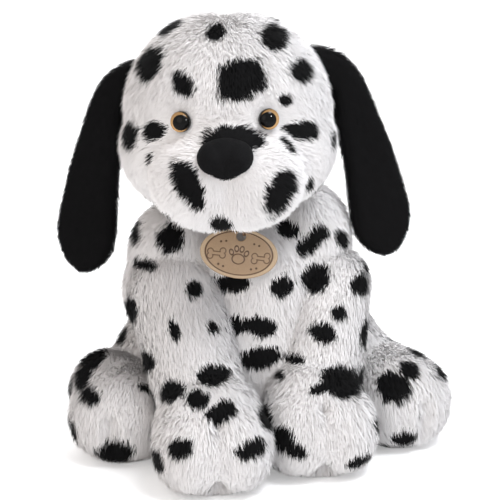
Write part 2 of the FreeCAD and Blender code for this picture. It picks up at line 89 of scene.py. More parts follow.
# ---- spots: across and up from the middle of the front view, width, height (mm) and turn -------
SPOTS = {
    "head": [
        (-46, 132.5, 15.5, 8, 35), (-20, 129.5, 11, 12, 0), (14, 127, 15.5, 18, -10),
        (14.5, 138, 6, 5, 0), (29.5, 107, 14.5, 13, 0), (-5.5, 102, 29, 22, 32),
        (20.5, 90.5, 8.5, 7, 0), (30.5, 72, 20.5, 11.5, 0), (21.5, 62.5, 4, 13, 35),
        (-59, 111.5, 17, 20.5, -15), (-39, 99.5, 11, 16.5, 30), (-70, 69, 11, 17, 0),
        (-56.5, 71.5, 14, 11, 0), (-58, 55, 5, 6, 0), (-37, 39.5, 14.5, 28, 28),
        (17, 35.5, 14.5, 27, -28), (-17, 17.5, 13, 8, -15), (34, 41, 5, 8.5, 0),
        (-54.5, 29, 3.5, 9, 25), (-61, 32.5, 4, 5, 0), (48, 66.5, 3.5, 9.5, 0),
        (-10.5, 66, 35, 16, 0),
    ],
    "torso": [
        (-66.5, 11, 6, 15.5, 0), (-47, 6.5, 14.5, 15.5, 0), (-11.5, -20, 21.5, 10, 0),
        (-9, -45, 13, 11, 0), (6, -46, 18, 11, -8), (6, -65, 25, 12, 12),
        (22, 12, 15, 9.5, -20), (34, 3, 15.5, 9, 50), (41, 10, 9, 12, -30),
        (53.5, 7, 7, 11, 25), (18.5, -22, 13, 11, 15), (33.5, 38, 5, 6, 0),
    ],
    "foreleg_right": [
        (-62, -9, 14.5, 7.5, -15), (-34, -24.5, 8.5, 11, 20), (-69.5, -35.5, 8.5, 15, 5),
        (-45, -48.5, 6, 13, 20), (-61, -66.5, 14, 12, -20), (-46, -85, 16, 13, 10),
        (-31, -91, 12, 11, 0), (-22, -76, 18, 13, 0), (-17, -98, 17, 11, 25),
        (-41, -119.5, 13, 11, 20), (-54, -126, 8, 13, 15), (0, -119.5, 18, 10, 20),
        (10, -100, 8.5, 16, 15), (-23, -47, 6, 8, 20),
    ],
    "foreleg_left": [
        (39, -17, 18, 17, 0), (65, -21, 12, 12, -25), (53, -38, 9, 9, -30),
        (44, -50, 15, 11, -20), (75, -51, 8, 17, -10), (27.5, -66, 12, 7, -15),
        (19, -76.5, 7, 5, -30), (55, -80, 25, 19, -15), (41, -84, 11, 5, 25),
        (20, -113, 13, 14, -20), (28, -120, 13, 7, -15), (75.5, -104.5, 5, 9, 0),
        (65, -125, 15, 6, 15), (72, -9, 5, 9.5, 0),
    ],
    "hind_leg_left": [
        (100, -63, 11, 10, 0), (87, -83, 18, 17, -20), (95, -73, 12, 9, -20),
        (113, -72, 7, 14, 15), (92, -111, 14, 8, 5), (79, -119, 9, 7, 0),
    ],
    "hind_leg_right": [
        (-94, -66, 16, 13, 20), (-99, -77, 10, 15, 0), (-95, -88, 12, 10, -20),
        (-112, -83, 6, 10, 0), (-109, -107, 6, 14, 25), (-80.5, -119.5, 20.5, 13, 5),
        (-63, -84, 9, 4, -20), (-75, -53, 5, 10, -30),
    ],
}
FRONT_DIRECTION = Euler((math.radians(75), 0, math.radians(-9))).to_matrix()
FRONT_TARGET = Vector((-3.6, 0, 117.2)) * MM
CAMERA_DISTANCE = 1.5
CAMERA_LENS = 180
LOCK_POINTS = 5

# ---- skins: cell and easing of the fused forms, their lift off the floor, seams and spots --------
SKIN_CELL, SKIN_ROUNDS = 1.8, 14
FLOOR_LIFT = 1.2 * MM
SEAT_LEVEL = 12 * MM
GUSSET_HALF = 16 * MM
SPOT_GAP = 27

# ---- coat: how spots and locks differ in tone, and the painted shade at each lock's root --------
SPOT_FRAY = 0.4
SPOT_EDGE = (0.40, 0.60)
# spread of each lock's random tone and of its painted root shade, and the gain both start from
LOCK_TONE_AND_ROOT_SHADE, LOCK_TONE_AND_ROOT_BASE = 0.07, 0.95
WEAR = 0.04

# ---- tag: hole, pressed lines and border --------------------------------------------------------
HOLE_RADIUS, HOLE_DOWN = 2.8 * MM, 4.6 * MM
PRESSED_DEPTH = 0.22 * MM
BORDER_IN, BORDER_HALF = 2.0, 0.28
LINE_SLOPE = 0.3


# ---- settings ----------------------------------------------------------------------------------
def length_setting(name, description, default):
    return FloatProperty(name=name, description=description, default=default, unit="LENGTH", min=0)


def colour_setting(name, description, default):
    return FloatVectorProperty(
        name=name, description=description, default=default, subtype="COLOR", size=3, min=0, max=1
    )


class PlushDogCoat(bpy.types.PropertyGroup):
    pile: length_setting("Pile", "Fur length on the body", 7 * MM)
    face_pile: length_setting("Face Pile", "Fur length on the head", 6.5 * MM)
    ear_pile: length_setting("Ear Pile", "Fur length on the ears", 4.5 * MM)
    fibre: length_setting("Fibre", "Width of one lock of pile", 0.54 * MM)
    density: FloatProperty(
        name="Density", description="Locks to a square metre", default=2.1e6, min=1e4
    )
    seed: IntProperty(name="Seed", description="Seed of the fur's random turns", default=7)
    white: colour_setting("White", "Ground of the coat", (0.92, 0.905, 0.90))
    black: colour_setting("Black", "Spots and ears", (0.0045, 0.0045, 0.005))


class PlushDogTrim(bpy.types.PropertyGroup):
    amber: colour_setting("Iris", "Ring of the eye", (0.56, 0.33, 0.14))
    leather: colour_setting("Leather", "Tag", (0.385, 0.26, 0.155))
    pressed: colour_setting("Pressed", "Lines pressed into the tag", (0.075, 0.032, 0.011))
    rim: colour_setting("Rim", "Pale border of the tag", (0.52, 0.385, 0.25))


# ---- materials ---------------------------------------------------------------------------------
def new_group(name, inputs, output):
    """A shader node group with its sockets and its two end nodes."""
    group = bpy.data.node_groups.new(name, "ShaderNodeTree")
    for label, kind in inputs:
        group.interface.new_socket(label, in_out="INPUT", socket_type=kind)
    group.interface.new_socket(output, in_out="OUTPUT", socket_type="NodeSocketColor")
    return group, group.nodes.new("NodeGroupInput"), group.nodes.new("NodeGroupOutput")


def wire(tree, *pairs):
    for source, target in pairs:
        tree.links.new(source, target)


def feed(tree, socket, value):
    """Links an output to the socket, or sets a plain value."""
    if isinstance(value, bpy.types.NodeSocket):
        tree.links.new(value, socket)
    else:
        socket.default_value = value


def math_node(tree, operation, *values, clamp=False):
    node = tree.nodes.new("ShaderNodeMath")
    node.operation = operation
    node.use_clamp = clamp
    for socket, value in zip(node.inputs, values):
        feed(tree, socket, value)
    return node.outputs[0]


def mix_colour(tree, factor, first, second, blend="MIX"):
    node = tree.nodes.new("ShaderNodeMix")
    node.data_type = "RGBA"
    node.blend_type = blend
    factor_in, first_in, second_in, colour_out = 0, 6, 7, 2
    for index, value in ((factor_in, factor), (first_in, first), (second_in, second)):
        feed(tree, node.inputs[index], value)
    return node.outputs[colour_out]


def shade(tree, colour, gain):
    """A colour times a grey value."""
    grey = tree.nodes.new("ShaderNodeCombineColor")
    for socket in grey.inputs:
        tree.links.new(gain, socket)
    return mix_colour(tree, 1.0, colour, grey.outputs[0], "MULTIPLY")


def noise_at(tree, scale, detail=2.0):
    """Noise over the object's own coordinates."""
    node = tree.nodes.new("ShaderNodeTexNoise")
    node.inputs["Scale"].default_value = scale
    node.inputs["Detail"].default_value = detail
    wire(tree, (tree.nodes.new("ShaderNodeTexCoord").outputs["Object"], node.inputs["Vector"]))
    return node.outputs["Fac"]


def roughen(tree, shader, height, strength, depth):
    bump = tree.nodes.new("ShaderNodeBump")
    bump.inputs["Strength"].default_value = strength
    bump.inputs["Distance"].default_value = depth
    wire(tree, (height, bump.inputs["Height"]), (bump.outputs["Normal"], shader.inputs["Normal"]))


def rgba(colour):
    return (*colour, 1.0)


def coat_group():
    """Colour of one lock of pile: white or black by its root, with painted shade darker towards its root, no
    two alike.
    """
    name = "Coat Colour"
    if name in bpy.data.node_groups:
        return bpy.data.node_groups[name]
    inputs = [
        ("White", "NodeSocketColor"), ("Black", "NodeSocketColor"), ("Coat", "NodeSocketFloat"),
        ("Tone", "NodeSocketFloat"), ("Along", "NodeSocketFloat"),
    ]
    tree, ins, outs = new_group(name, inputs, "Colour")
    jitter = math_node(tree, "MULTIPLY_ADD", ins.outputs["Tone"], SPOT_FRAY, -SPOT_FRAY / 2)
    shifted = math_node(tree, "ADD", ins.outputs["Coat"], jitter)
    ramp = tree.nodes.new("ShaderNodeMapRange")
    ramp.interpolation_type = "SMOOTHSTEP"
    ramp.inputs["From Min"].default_value, ramp.inputs["From Max"].default_value = SPOT_EDGE
    wire(tree, (shifted, ramp.inputs["Value"]))
    colour = mix_colour(tree, ramp.outputs["Result"], ins.outputs["White"], ins.outputs["Black"])
    # Tone shifts each lock's tone at random; Along paints shade: darker at the root, where the pile shades
    # it, lighter at the tip
    tone, along = (
        math_node(tree, "MULTIPLY_ADD", ins.outputs[label], LOCK_TONE_AND_ROOT_SHADE, LOCK_TONE_AND_ROOT_BASE)
        for label in ("Tone", "Along")
    )
    gain = math_node(tree, "MULTIPLY", tone, along)
    wear = math_node(tree, "MULTIPLY_ADD", noise_at(tree, 90), 2 * WEAR, 1 - WEAR)
    gain = math_node(tree, "MULTIPLY", gain, wear)
    wire(tree, (shade(tree, colour, gain), outs.inputs["Colour"]))
    return tree


def blank_material(name, roughness, **inputs):
    """A principled material; further inputs are named with underscores for spaces."""
    material = bpy.data.materials.new(name)
    material.use_nodes = True
    shader = material.node_tree.nodes["Principled BSDF"]
    shader.inputs["Roughness"].default_value = roughness
    for label, value in inputs.items():
        shader.inputs[label.replace("_", " ")].default_value = value
    return material, material.node_tree, shader


def attribute(tree, name):
    node = tree.nodes.new("ShaderNodeAttribute")
    node.attribute_name = name
    return node.outputs["Fac"]


def fur_material(slot, coat):
    """Pile that is black all over on the ears, and white or black by the coat attribute elsewhere."""
    name = {"spotted_fur": "spotted_pile", "black_fur": "black_pile"}[slot]
    if name in bpy.data.materials:
        return bpy.data.materials[name]
    material, tree, shader = blank_material(
        name, 0.85, Sheen_Weight=0.04, Sheen_Roughness=0.5, Specular_IOR_Level=0.12
    )
    group = tree.nodes.new("ShaderNodeGroup")
    group.node_tree = coat_group()
    all_black = 2.0
    coat_value = all_black if slot == "black_fur" else attribute(tree, "coat")
    for label, value in (
        ("White", rgba(coat.white)), ("Black", rgba(coat.black)), ("Coat", coat_value),
        ("Tone", attribute(tree, "tone")), ("Along", attribute(tree, "along")),
    ):
        feed(tree, group.inputs[label], value)
    wire(tree, (group.outputs["Colour"], shader.inputs["Base Color"]))
    return material


# ---- soft forms --------------------------------------------------------------------------------
def add_ball(bm, centre, radii):
    """A ball, or an ellipsoid where there are three radii."""
    radii = (radii, radii, radii) if isinstance(radii, (int, float)) else radii
    place = Matrix.Translation(Vector(centre) * MM)
    size = Matrix.Diagonal((radii[0] * MM, radii[1] * MM, radii[2] * MM, 1))
    bmesh.ops.create_icosphere(bm, subdivisions=5, radius=1, matrix=place @ size)


def add_limb(bm, start, first, end, last):
    """Two balls and the cone between them."""
    start, end = Vector(start), Vector(end)
    add_ball(bm, start, first)
    add_ball(bm, end, last)
    axis = end - start
    lying = axis.to_track_quat("Z", "Y").to_matrix().to_4x4()
    place = Matrix.Translation((start + end) * 0.5 * MM) @ lying
    bmesh.ops.create_cone(
        bm, cap_ends=True, cap_tris=False, segments=64,
        radius1=first * MM, radius2=last * MM, depth=axis.length * MM, matrix=place,
    )


def link(obj):
    bpy.context.scene.collection.objects.link(obj)
    return obj


def mesh_object(name, bm):
    mesh = bpy.data.meshes.new(name)
    bm.to_mesh(mesh)
    bm.free()
    return link(bpy.data.objects.new(name, mesh))


def frozen(obj, name):
    """A new mesh object with the modifiers applied; the old object goes."""
    bpy.context.view_layer.update()
    graph = bpy.context.evaluated_depsgraph_get()
    mesh = bpy.data.meshes.new_from_object(
        obj.evaluated_get(graph), preserve_all_data_layers=True, depsgraph=graph
    )
    old = obj.data
    bpy.data.objects.remove(obj)
    bpy.data.meshes.remove(old)
    mesh.name = name
    return link(bpy.data.objects.new(name, mesh))


def stuffed_skin(name, bm, cell, rounds):
    """Fuses the forms to one closed skin and eases their joins."""
    obj = mesh_object(name, bm)
    remesh = obj.modifiers.new("Fuse", "REMESH")
    remesh.mode = "VOXEL"
    remesh.voxel_size = cell * MM
    obj = frozen(obj, name)
    bm = bmesh.new()
    bm.from_mesh(obj.data)
    for _ in range(rounds):
        bmesh.ops.smooth_vert(
            bm, verts=bm.verts, factor=0.5, use_axis_x=True, use_axis_y=True, use_axis_z=True
        )
    bmesh.ops.recalc_face_normals(bm, faces=bm.faces)
    bm.to_mesh(obj.data)
    bm.free()
    obj.data.shade_smooth()
    return obj


def coordinates(mesh):
    co = np.empty(len(mesh.vertices) * 3)
    mesh.vertices.foreach_get("co", co)
    return co.reshape(-1, 3)


def normals(mesh):
    found = np.empty(len(mesh.vertices) * 3)
    mesh.vertex_normals.foreach_get("vector", found)
    return found.reshape(-1, 3)


def move_vertices(obj, co):
    obj.data.vertices.foreach_set("co", co.ravel())
    obj.data.update()


def fall(distance, reach):
    """1 at the middle, 0 from the reach on, smooth between."""
    near = np.clip(1 - distance / reach, 0, 1)
    return near * near * (3 - 2 * near)


def press(obj, point, reach, push, stretch=(1, 1, 1)):
    """Pushes the skin by a vector near a point; all in metres."""
    co = coordinates(obj.data)
    away = (co - np.array(point)) / np.array(stretch)
    co += fall(np.linalg.norm(away, axis=1), reach)[:, None] * np.array(push)
    move_vertices(obj, co)


def crease(obj, start, end, width, depth):
    """A sewn groove along a line: the skin nearby sinks along its own normals."""
    co, nor = coordinates(obj.data), normals(obj.data)
    a, b = np.array(start), np.array(end)
    along = np.clip(((co - a) @ (b - a)) / ((b - a) @ (b - a)), 0, 1)
    away = np.linalg.norm(co - (a + along[:, None] * (b - a)), axis=1)
    co -= nor * (fall(away, width) * depth)[:, None]
    move_vertices(obj, co)


def rest_on_floor(obj, lift):
    """Flattens what the floor holds up."""
    co = coordinates(obj.data)
    co[:, 2] = np.maximum(co[:, 2], lift)
    move_vertices(obj, co)


# ---- coat: spots, combing and pile length ------------------------------------------------------
def picture_axes():
    across = np.array(FRONT_DIRECTION @ Vector((1, 0, 0)))
    up = np.array(FRONT_DIRECTION @ Vector((0, 1, 0)))
    back = np.array(FRONT_DIRECTION @ Vector((0, 0, 1)))
    return across, up, back


def front_spots(obj, spots, others=()):
    """Finds where each spot of the front view lies on the skin; others' spots only where they hit."""
    across, up, back = picture_axes()
    eye = np.array(FRONT_TARGET) + back * CAMERA_DISTANCE
    tree = BVHTree.FromObject(obj, bpy.context.evaluated_depsgraph_get())
    co = coordinates(obj.data)
    found = []
    for own, (x, y, wide, tall, turn) in [(True, s) for s in spots] + [(False, s) for s in others]:
        aim = np.array(FRONT_TARGET) + across * x * MM + up * y * MM
        ray = Vector(aim - eye).normalized()
        hit = tree.ray_cast(Vector(eye), ray)[0]
        if hit is None and not own:
            continue
        if hit is None:
            away = co - eye
            aside = np.linalg.norm(away - (away @ np.array(ray))[:, None] * np.array(ray), axis=1)
            hit = Vector(co[aside.argmin()])
        near = (Vector(eye) - hit).length / CAMERA_DISTANCE
        angle = math.radians(turn)
        first = across * math.cos(angle) + up * math.sin(angle)
        second = up * math.cos(angle) - across * math.sin(angle)
        found.append((np.array(hit), first, second, wide / 2 * MM * near, tall / 2 * MM * near))
    return found


def unseen_spots(obj, taken, gap, seed, keep):
    """More spots in the same manner on the sides and the back."""
    chance = np.random.default_rng(seed)
    co, nor = coordinates(obj.data), normals(obj.data)
    back = picture_axes()[2]
    found, places = [], [spot[0] for spot in taken]
    for index in chance.permutation(len(co))[:6000]:
        point, normal = co[index], nor[index]
        if normal @ back > 0.12 or point[2] < 0.018 or not keep(point):
            continue
        space = gap * chance.uniform(0.85, 1.25)
        if any(np.linalg.norm(point - other) < space for other in places):
            continue
        side = np.cross(normal, (0, 0, 1.0))
        side /= max(np.linalg.norm(side), 1e-6)
        over = np.cross(normal, side)
        angle = chance.uniform(0, math.pi)
        first = side * math.cos(angle) + over * math.sin(angle)
        second = over * math.cos(angle) - side * math.sin(angle)
        half = chance.uniform(4.5, 8.5) * MM
        found.append((point, first, second, half * chance.uniform(1.0, 1.5), half))
        places.append(point)
    return found


def spot_mask(points, spots):
    wobble = np.array([noise.noise(Vector(p) * 210) for p in points])
    fine = np.array([noise.noise(Vector(p) * 520) for p in points])
    mask = np.zeros(len(points))
    for centre, first, second, wide, tall in spots:
        away = points - centre
        near = np.linalg.norm(away, axis=1) < 2.6 * max(wide, tall)
        depth = 0.4 * (away[near] @ np.cross(first, second)) / max(wide, tall)
        d = 0.92 * np.hypot(np.hypot((away[near] @ first) / wide, (away[near] @ second) / tall), depth)
        d += 0.24 * wobble[near] + 0.12 * fine[near]
        mask[near] = np.maximum(mask[near], np.clip(0.5 + (1 - d) * 1.6, 0, 1))
    return mask


def put(mesh, name, kind, values):
    found = mesh.attributes.get(name) or mesh.attributes.new(name, kind, "POINT")
    field = {"FLOAT": "value", "FLOAT_VECTOR": "vector"}[kind]
    found.data.foreach_set(field, np.ascontiguousarray(values, dtype=np.float32).ravel())


def lay_coat(obj, flow, pile, spots, black=False, ruffle=1.0):
    """Writes combing, pile length and coat colour on the skin."""
    mesh = obj.data
    co, nor = coordinates(mesh), normals(mesh)
    comb = flow(co)
    swirl = np.array([noise.noise_vector(Vector(p) * 130) for p in co])
    locks = np.array([noise.noise_vector(Vector(p) * 420) for p in co])
    comb /= np.linalg.norm(comb, axis=1)[:, None]
    comb -= nor * np.sum(comb * nor, axis=1)[:, None]
    crown = np.clip(np.linalg.norm(comb, axis=1) / 0.35, 0.2, 1)
    comb += ruffle * (0.14 * swirl + 0.12 * locks)
    comb -= nor * np.sum(comb * nor, axis=1)[:, None]
    comb /= np.maximum(np.linalg.norm(comb, axis=1), 1e-6)[:, None]
    length = pile(co) * crown * (1 + 0.22 * ruffle * locks[:, 0])
    put(mesh, "comb", "FLOAT_VECTOR", comb)
    put(mesh, "pile", "FLOAT", length)
    coat = np.ones(len(co)) if black else spot_mask(co + comb * length[:, None] * 0.45, spots)
    put(mesh, "coat", "FLOAT", coat)
    put(mesh, "tone", "FLOAT", np.full(len(co), 0.5))
    # Along 0 gives the skin under the pile the painted shade of the locks' roots
    put(mesh, "along", "FLOAT", np.zeros(len(co)))


def blade():
    """One lock of pile: rises from its root, bends over and ends in a point."""
    name = "pile_blade"
    if name in bpy.data.objects:
        return bpy.data.objects[name]
    bm = bmesh.new()
    # along runs from 0 at the root to 1 at the tip; the coat colour reads it for its painted root shade
    along = bm.verts.layers.float.new("along")
    rows = []
    for y, z, half in ((0, 0, 0.5), (0.5, 0.31, 0.42)):
        rows.append([bm.verts.new((side * half, y, z)) for side in (-1, 1)])
        for vert in rows[-1]:
            vert[along] = y
    tip = bm.verts.new((0, 1.0, 0.41))
    tip[along] = 1.0
    bm.faces.new((rows[0][0], rows[0][1], rows[1][1], rows[1][0]))
    bm.faces.new((rows[1][0], rows[1][1], tip))
    obj = mesh_object(name, bm)
    obj.hide_render = True
    return obj


def pile_nodes():
    """Geometry nodes that set a lock of pile on every root."""
    name = "Pile"
    if name in bpy.data.node_groups:
        return bpy.data.node_groups[name]
    tree = bpy.data.node_groups.new(name, "GeometryNodeTree")
    for label, kind in (
        ("Skin", "Geometry"), ("Lock", "Object"), ("Density", "Float"), ("Width", "Float"), ("Seed", "Int")
    ):
        tree.interface.new_socket(label, in_out="INPUT", socket_type="NodeSocket" + kind)
    tree.interface.new_socket("Pile", in_out="OUTPUT", socket_type="NodeSocketGeometry")
    node = tree.nodes.new
    ins, outs = node("NodeGroupInput"), node("NodeGroupOutput")
    roots = node("GeometryNodeDistributePointsOnFaces")

    def named(label, kind):
        found = node("GeometryNodeInputNamedAttribute")
        found.data_type = kind
        found.inputs["Name"].default_value = label
        return found.outputs["Attribute"]

    def chance(low, high, shift):
        """A number or a vector between two ends, by the kind of the ends."""
        found = node("FunctionNodeRandomValue")
        found.data_type = "FLOAT_VECTOR" if isinstance(low, tuple) else "FLOAT"
        low_in, high_in, out = {"FLOAT": (2, 3, 1), "FLOAT_VECTOR": (0, 1, 0)}[found.data_type]
        found.inputs[low_in].default_value = low
        found.inputs[high_in].default_value = high
        found.inputs["Seed"].default_value = shift
        return found.outputs[out]

    def strayed(label, stray, shift):
        """A stored direction with a chance added to each part of it."""
        total = node("ShaderNodeVectorMath")
        total.operation = "ADD"
        random = chance((-stray,) * 3, (stray,) * 3, shift)
        wire(tree, (named(label, "FLOAT_VECTOR"), total.inputs[0]), (random, total.inputs[1]))
        return total.outputs[0]

    def store(label, kind, geometry, value):
        found = node("GeometryNodeStoreNamedAttribute")
        found.data_type = kind
        found.domain = "POINT"
        found.inputs["Name"].default_value = label
        wire(tree, (geometry, found.inputs["Geometry"]), (value, found.inputs["Value"]))
        return found.outputs["Geometry"]

    wire(
        tree,
        (ins.outputs["Skin"], roots.inputs["Mesh"]),
        (ins.outputs["Density"], roots.inputs["Density"]),
        (ins.outputs["Seed"], roots.inputs["Seed"]),
    )
    points = store("tone", "FLOAT", roots.outputs["Points"], chance(0.0, 1.0, 3))
    points = store("lie", "FLOAT_VECTOR", points, roots.outputs["Normal"])
    points = store("root", "FLOAT_VECTOR", points, node("GeometryNodeInputPosition").outputs[0])
    turn = node("FunctionNodeAxesToRotation")
    turn.primary_axis = "Y"
    turn.secondary_axis = "Z"
    length = node("ShaderNodeMath")
    length.operation = "MULTIPLY"
    wire(
        tree,
        (strayed("comb", 0.24, 5), turn.inputs["Primary Axis"]),
        (strayed("lie", 0.55, 9), turn.inputs["Secondary Axis"]),
        (named("pile", "FLOAT"), length.inputs[0]),
        (chance(0.72, 1.12, 11), length.inputs[1]),
    )
    size = node("ShaderNodeCombineXYZ")
    wire(
        tree,
        (ins.outputs["Width"], size.inputs["X"]),
        (length.outputs[0], size.inputs["Y"]),
        (length.outputs[0], size.inputs["Z"]),
    )
    lock = node("GeometryNodeObjectInfo")
    locks = node("GeometryNodeInstanceOnPoints")
    real = node("GeometryNodeRealizeInstances")
    wire(
        tree,
        (ins.outputs["Lock"], lock.inputs["Object"]),
        (points, locks.inputs["Points"]),
        (lock.outputs["Geometry"], locks.inputs["Instance"]),
        (turn.outputs["Rotation"], locks.inputs["Rotation"]),
        (size.outputs["Vector"], locks.inputs["Scale"]),
        (locks.outputs["Instances"], real.inputs["Geometry"]),
        (real.outputs["Geometry"], outs.inputs["Pile"]),
    )
    return tree


def vectors(mesh, name):
    found = np.empty(len(mesh.vertices) * 3, np.float32)
    mesh.attributes[name].data.foreach_get("vector", found)
    return found.reshape(-1, 3).astype(float)


def unwrap_pile(mesh):
    """A map for baking: each lock lies where its root is on a globe round the piece."""
    root = vectors(mesh, "root")
    away = root - root.mean(0)
    away /= np.maximum(np.linalg.norm(away, axis=1), 1e-9)[:, None]
    globe = np.column_stack((np.arctan2(away[:, 0], -away[:, 1]), np.arccos(np.clip(away[:, 2], -1, 1))))
    globe = (globe - globe.min(0)) / np.ptp(globe, axis=0)
    index = np.arange(len(root)) % LOCK_POINTS
    across = np.where(index == LOCK_POINTS - 1, 0, np.where(index % 2 == 0, -1, 1))
    tip = np.empty(len(root))
    mesh.attributes["along"].data.foreach_get("value", tip)
    globe = 0.01 + 0.98 * globe + 0.003 * np.column_stack((across, tip))
    corners = np.empty(len(mesh.loops), np.int32)
    mesh.loops.foreach_get("vertex_index", corners)
    layer = mesh.uv_layers.new(name="OFBake")
    layer.data.foreach_set("uv", globe[corners].astype(np.float32).ravel())


def dress(obj, body, slot, *nodes, fill=None, material=None):
    """Attaches a finished piece to its body, hides the CAD nodes it replaces and sets its material."""
    if material:
        obj.data.materials.clear()
        obj.data.materials.append(material)
    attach(obj, body)
    if nodes:
        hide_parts(*nodes)


def everywhere(points):
    return np.ones(len(points), bool)


def grow_pile(skin, body, node, coat, seed, choose=everywhere, dense=1.0, wide=1.0, slot="spotted_fur"):
    """Fur on the part of a skin that choose picks, as one piece that stands for a CAD node."""
    name = node.replace("_fur", "") + "_pile"
    density, width = coat.density * dense, coat.fibre * wide
    bm = bmesh.new()
    bm.from_mesh(skin.data)
    centres = np.array([f.calc_center_median() for f in bm.faces])
    wanted = choose(centres)
    bm.faces.ensure_lookup_table()
    bmesh.ops.delete(bm, geom=[f for f, keep in zip(bm.faces, wanted) if not keep], context="FACES")
    obj = mesh_object(name, bm)
    grower = obj.modifiers.new("Pile", "NODES")
    grower.node_group = pile_nodes()
    sockets = {item.name: item.identifier for item in pile_nodes().interface.items_tree}
    for label, value in (
        ("Lock", blade()), ("Density", density), ("Width", width), ("Seed", coat.seed + seed)
    ):
        grower[sockets[label]] = value
    obj = frozen(obj, name)
    mesh = obj.data
    co, lie = coordinates(mesh), vectors(mesh, "lie")
    co[:, 2] = np.maximum(co[:, 2], 0.3 * MM)
    move_vertices(obj, co)
    mesh.shade_smooth()
    soft = normals(mesh)
    soft *= np.sign(np.sum(soft * lie, axis=1))[:, None]
    soft = soft * 0.2 + lie
    soft /= np.maximum(np.linalg.norm(soft, axis=1), 1e-6)[:, None]
    mesh.normals_split_custom_set_from_vertices(soft.tolist())
    unwrap_pile(mesh)
    for spare in ("lie", "root", "comb", "pile"):
        if spare in mesh.attributes:
            mesh.attributes.remove(mesh.attributes[spare])
    dress(obj, body, slot, node, fill=0.6, material=fur_material(slot, coat))


def finish_skin(obj, body, coat, slot="spotted_fur"):
    dress(obj, body, slot, fill=0.7, material=fur_material(slot, coat))


def spotted(body, skin, seed, keep=lambda p: True):
    """All spots of a body's skin; a neighbour's run over on the torso and the left foreleg."""
    others = [s for name in SPOTS if name not in (body, "head") for s in SPOTS[name]]
    known = front_spots(skin, SPOTS[body], others if body in ("torso", "foreleg_left") else ())
    return known + unseen_spots(skin, known, SPOT_GAP * MM, seed, keep)


# ---- operators ---------------------------------------------------------------------------------
class PieceOperator:
    """Each piece is built from the scene's two groups of settings."""

    bl_options = {"REGISTER", "UNDO"}

    def execute(self, context):
        self.build(context.scene.plush_dog_coat, context.scene.plush_dog_trim)
        return {"FINISHED"}


def node_frame(node):
    """Middle, long way, short way and outward way of a flat CAD node, in metres."""
    co = coordinates(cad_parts[node].data)
    middle = (co.min(0) + co.max(0)) / 2
    ways = np.linalg.svd(co - co.mean(0), full_matrices=False)[2]
    ways[0] *= np.sign(ways[0][0])
    ways[1] *= np.sign(ways[1][2])
    ways[2] *= -np.sign(ways[2][1])
    return middle, ways


def tag_distance(co, tag, half):
    """Distance from the middle of an oval, 1 on its edge."""
    middle, ways = tag
    return np.hypot((co - middle) @ ways[0] / half[0], (co - middle) @ ways[1] / half[1])


def tuck_behind(obj, tag, half, room):
    """Keeps the skin behind an oval plate."""
    co = coordinates(obj.data)
    middle, ways = tag
    height = (co - middle) @ ways[2]
    near = (tag_distance(co, tag, half) < 1.6) & (height > -0.03) & (height < 0.03)
    share = fall(np.maximum(tag_distance(co, tag, half) - 0.8, 0), 0.8)
    sink = np.maximum(height + room, 0) * share * near
    co -= ways[2] * sink[:, None]
    move_vertices(obj, co)


class PLUSHDOG_OT_torso(PieceOperator, bpy.types.Operator):
    """Stuffed torso with belly, back and seat panels"""

    bl_idname = "plushdog.torso"
    bl_label = "Torso"

    def build(self, coat, trim):
        bm = bmesh.new()
        belly, chest = Vector(BELLY), Vector(CHEST)
        add_limb(
            bm, belly + Vector((0, 5, 0)), BELLY_RADIUS - 5, chest + Vector((0, 3, 0)), CHEST_RADIUS - 4
        )
        add_ball(bm, belly + Vector((0, 4, 0)), (BELLY_RADIUS - 1, BELLY_RADIUS - 5, BELLY_RADIUS - 1))
        for side in SIDES:
            add_ball(bm, (side * 24 - 3, -1, 111), (32, 29, 30))
            add_ball(bm, (side * 20, 14, 44), (40, 40, 42))
        for centre, radii in SHOULDERS_AND_BACK:
            add_ball(bm, centre, radii)
        skin = stuffed_skin("torso_cloth", bm, SKIN_CELL, SKIN_ROUNDS)
        rest_on_floor(skin, FLOOR_LIFT)
        tag = node_frame("leather_tag")
        tuck_behind(skin, tag, (0.027, 0.019), 3.6 * MM)

        def flow(co):
            out = co - np.array((0, 0, 0.12))
            return np.column_stack((out[:, 0] * 6, out[:, 1] * 6, np.full(len(co), -1.0)))

        def pile(co):
            under = fall(tag_distance(co, tag, (0.025, 0.016)), 1.35)
            front = np.clip(-co[:, 1] / 0.04, 0, 1) * np.clip(1 - np.abs(co[:, 0]) / 0.05, 0, 1)
            low = np.clip(0.2 + co[:, 2] / 0.03, 0.2, 1)
            return coat.pile * low * (1 - 0.72 * under) * (1 - 0.35 * front)

        lay_coat(skin, flow, pile, spotted("torso", skin, 11))

        def ahead(p):
            return np.abs(np.degrees(np.arctan2(p[:, 0], -p[:, 1]))) < 58

        def raised(p):
            return p[:, 2] > SEAT_LEVEL

        panels = {
            "belly_panel": lambda p: raised(p) & ahead(p),
            "back_panel_left": lambda p: raised(p) & ~ahead(p) & (p[:, 0] > 0),
            "back_panel_right": lambda p: raised(p) & ~ahead(p) & (p[:, 0] <= 0),
            "seat_panel": lambda p: ~raised(p),
        }
        for number, (node, choose) in enumerate(panels.items()):
            dense = 0.4 if node == "seat_panel" else 1.0
            grow_pile(skin, "torso", node, coat, number, choose, dense)
        finish_skin(skin, "torso", coat)


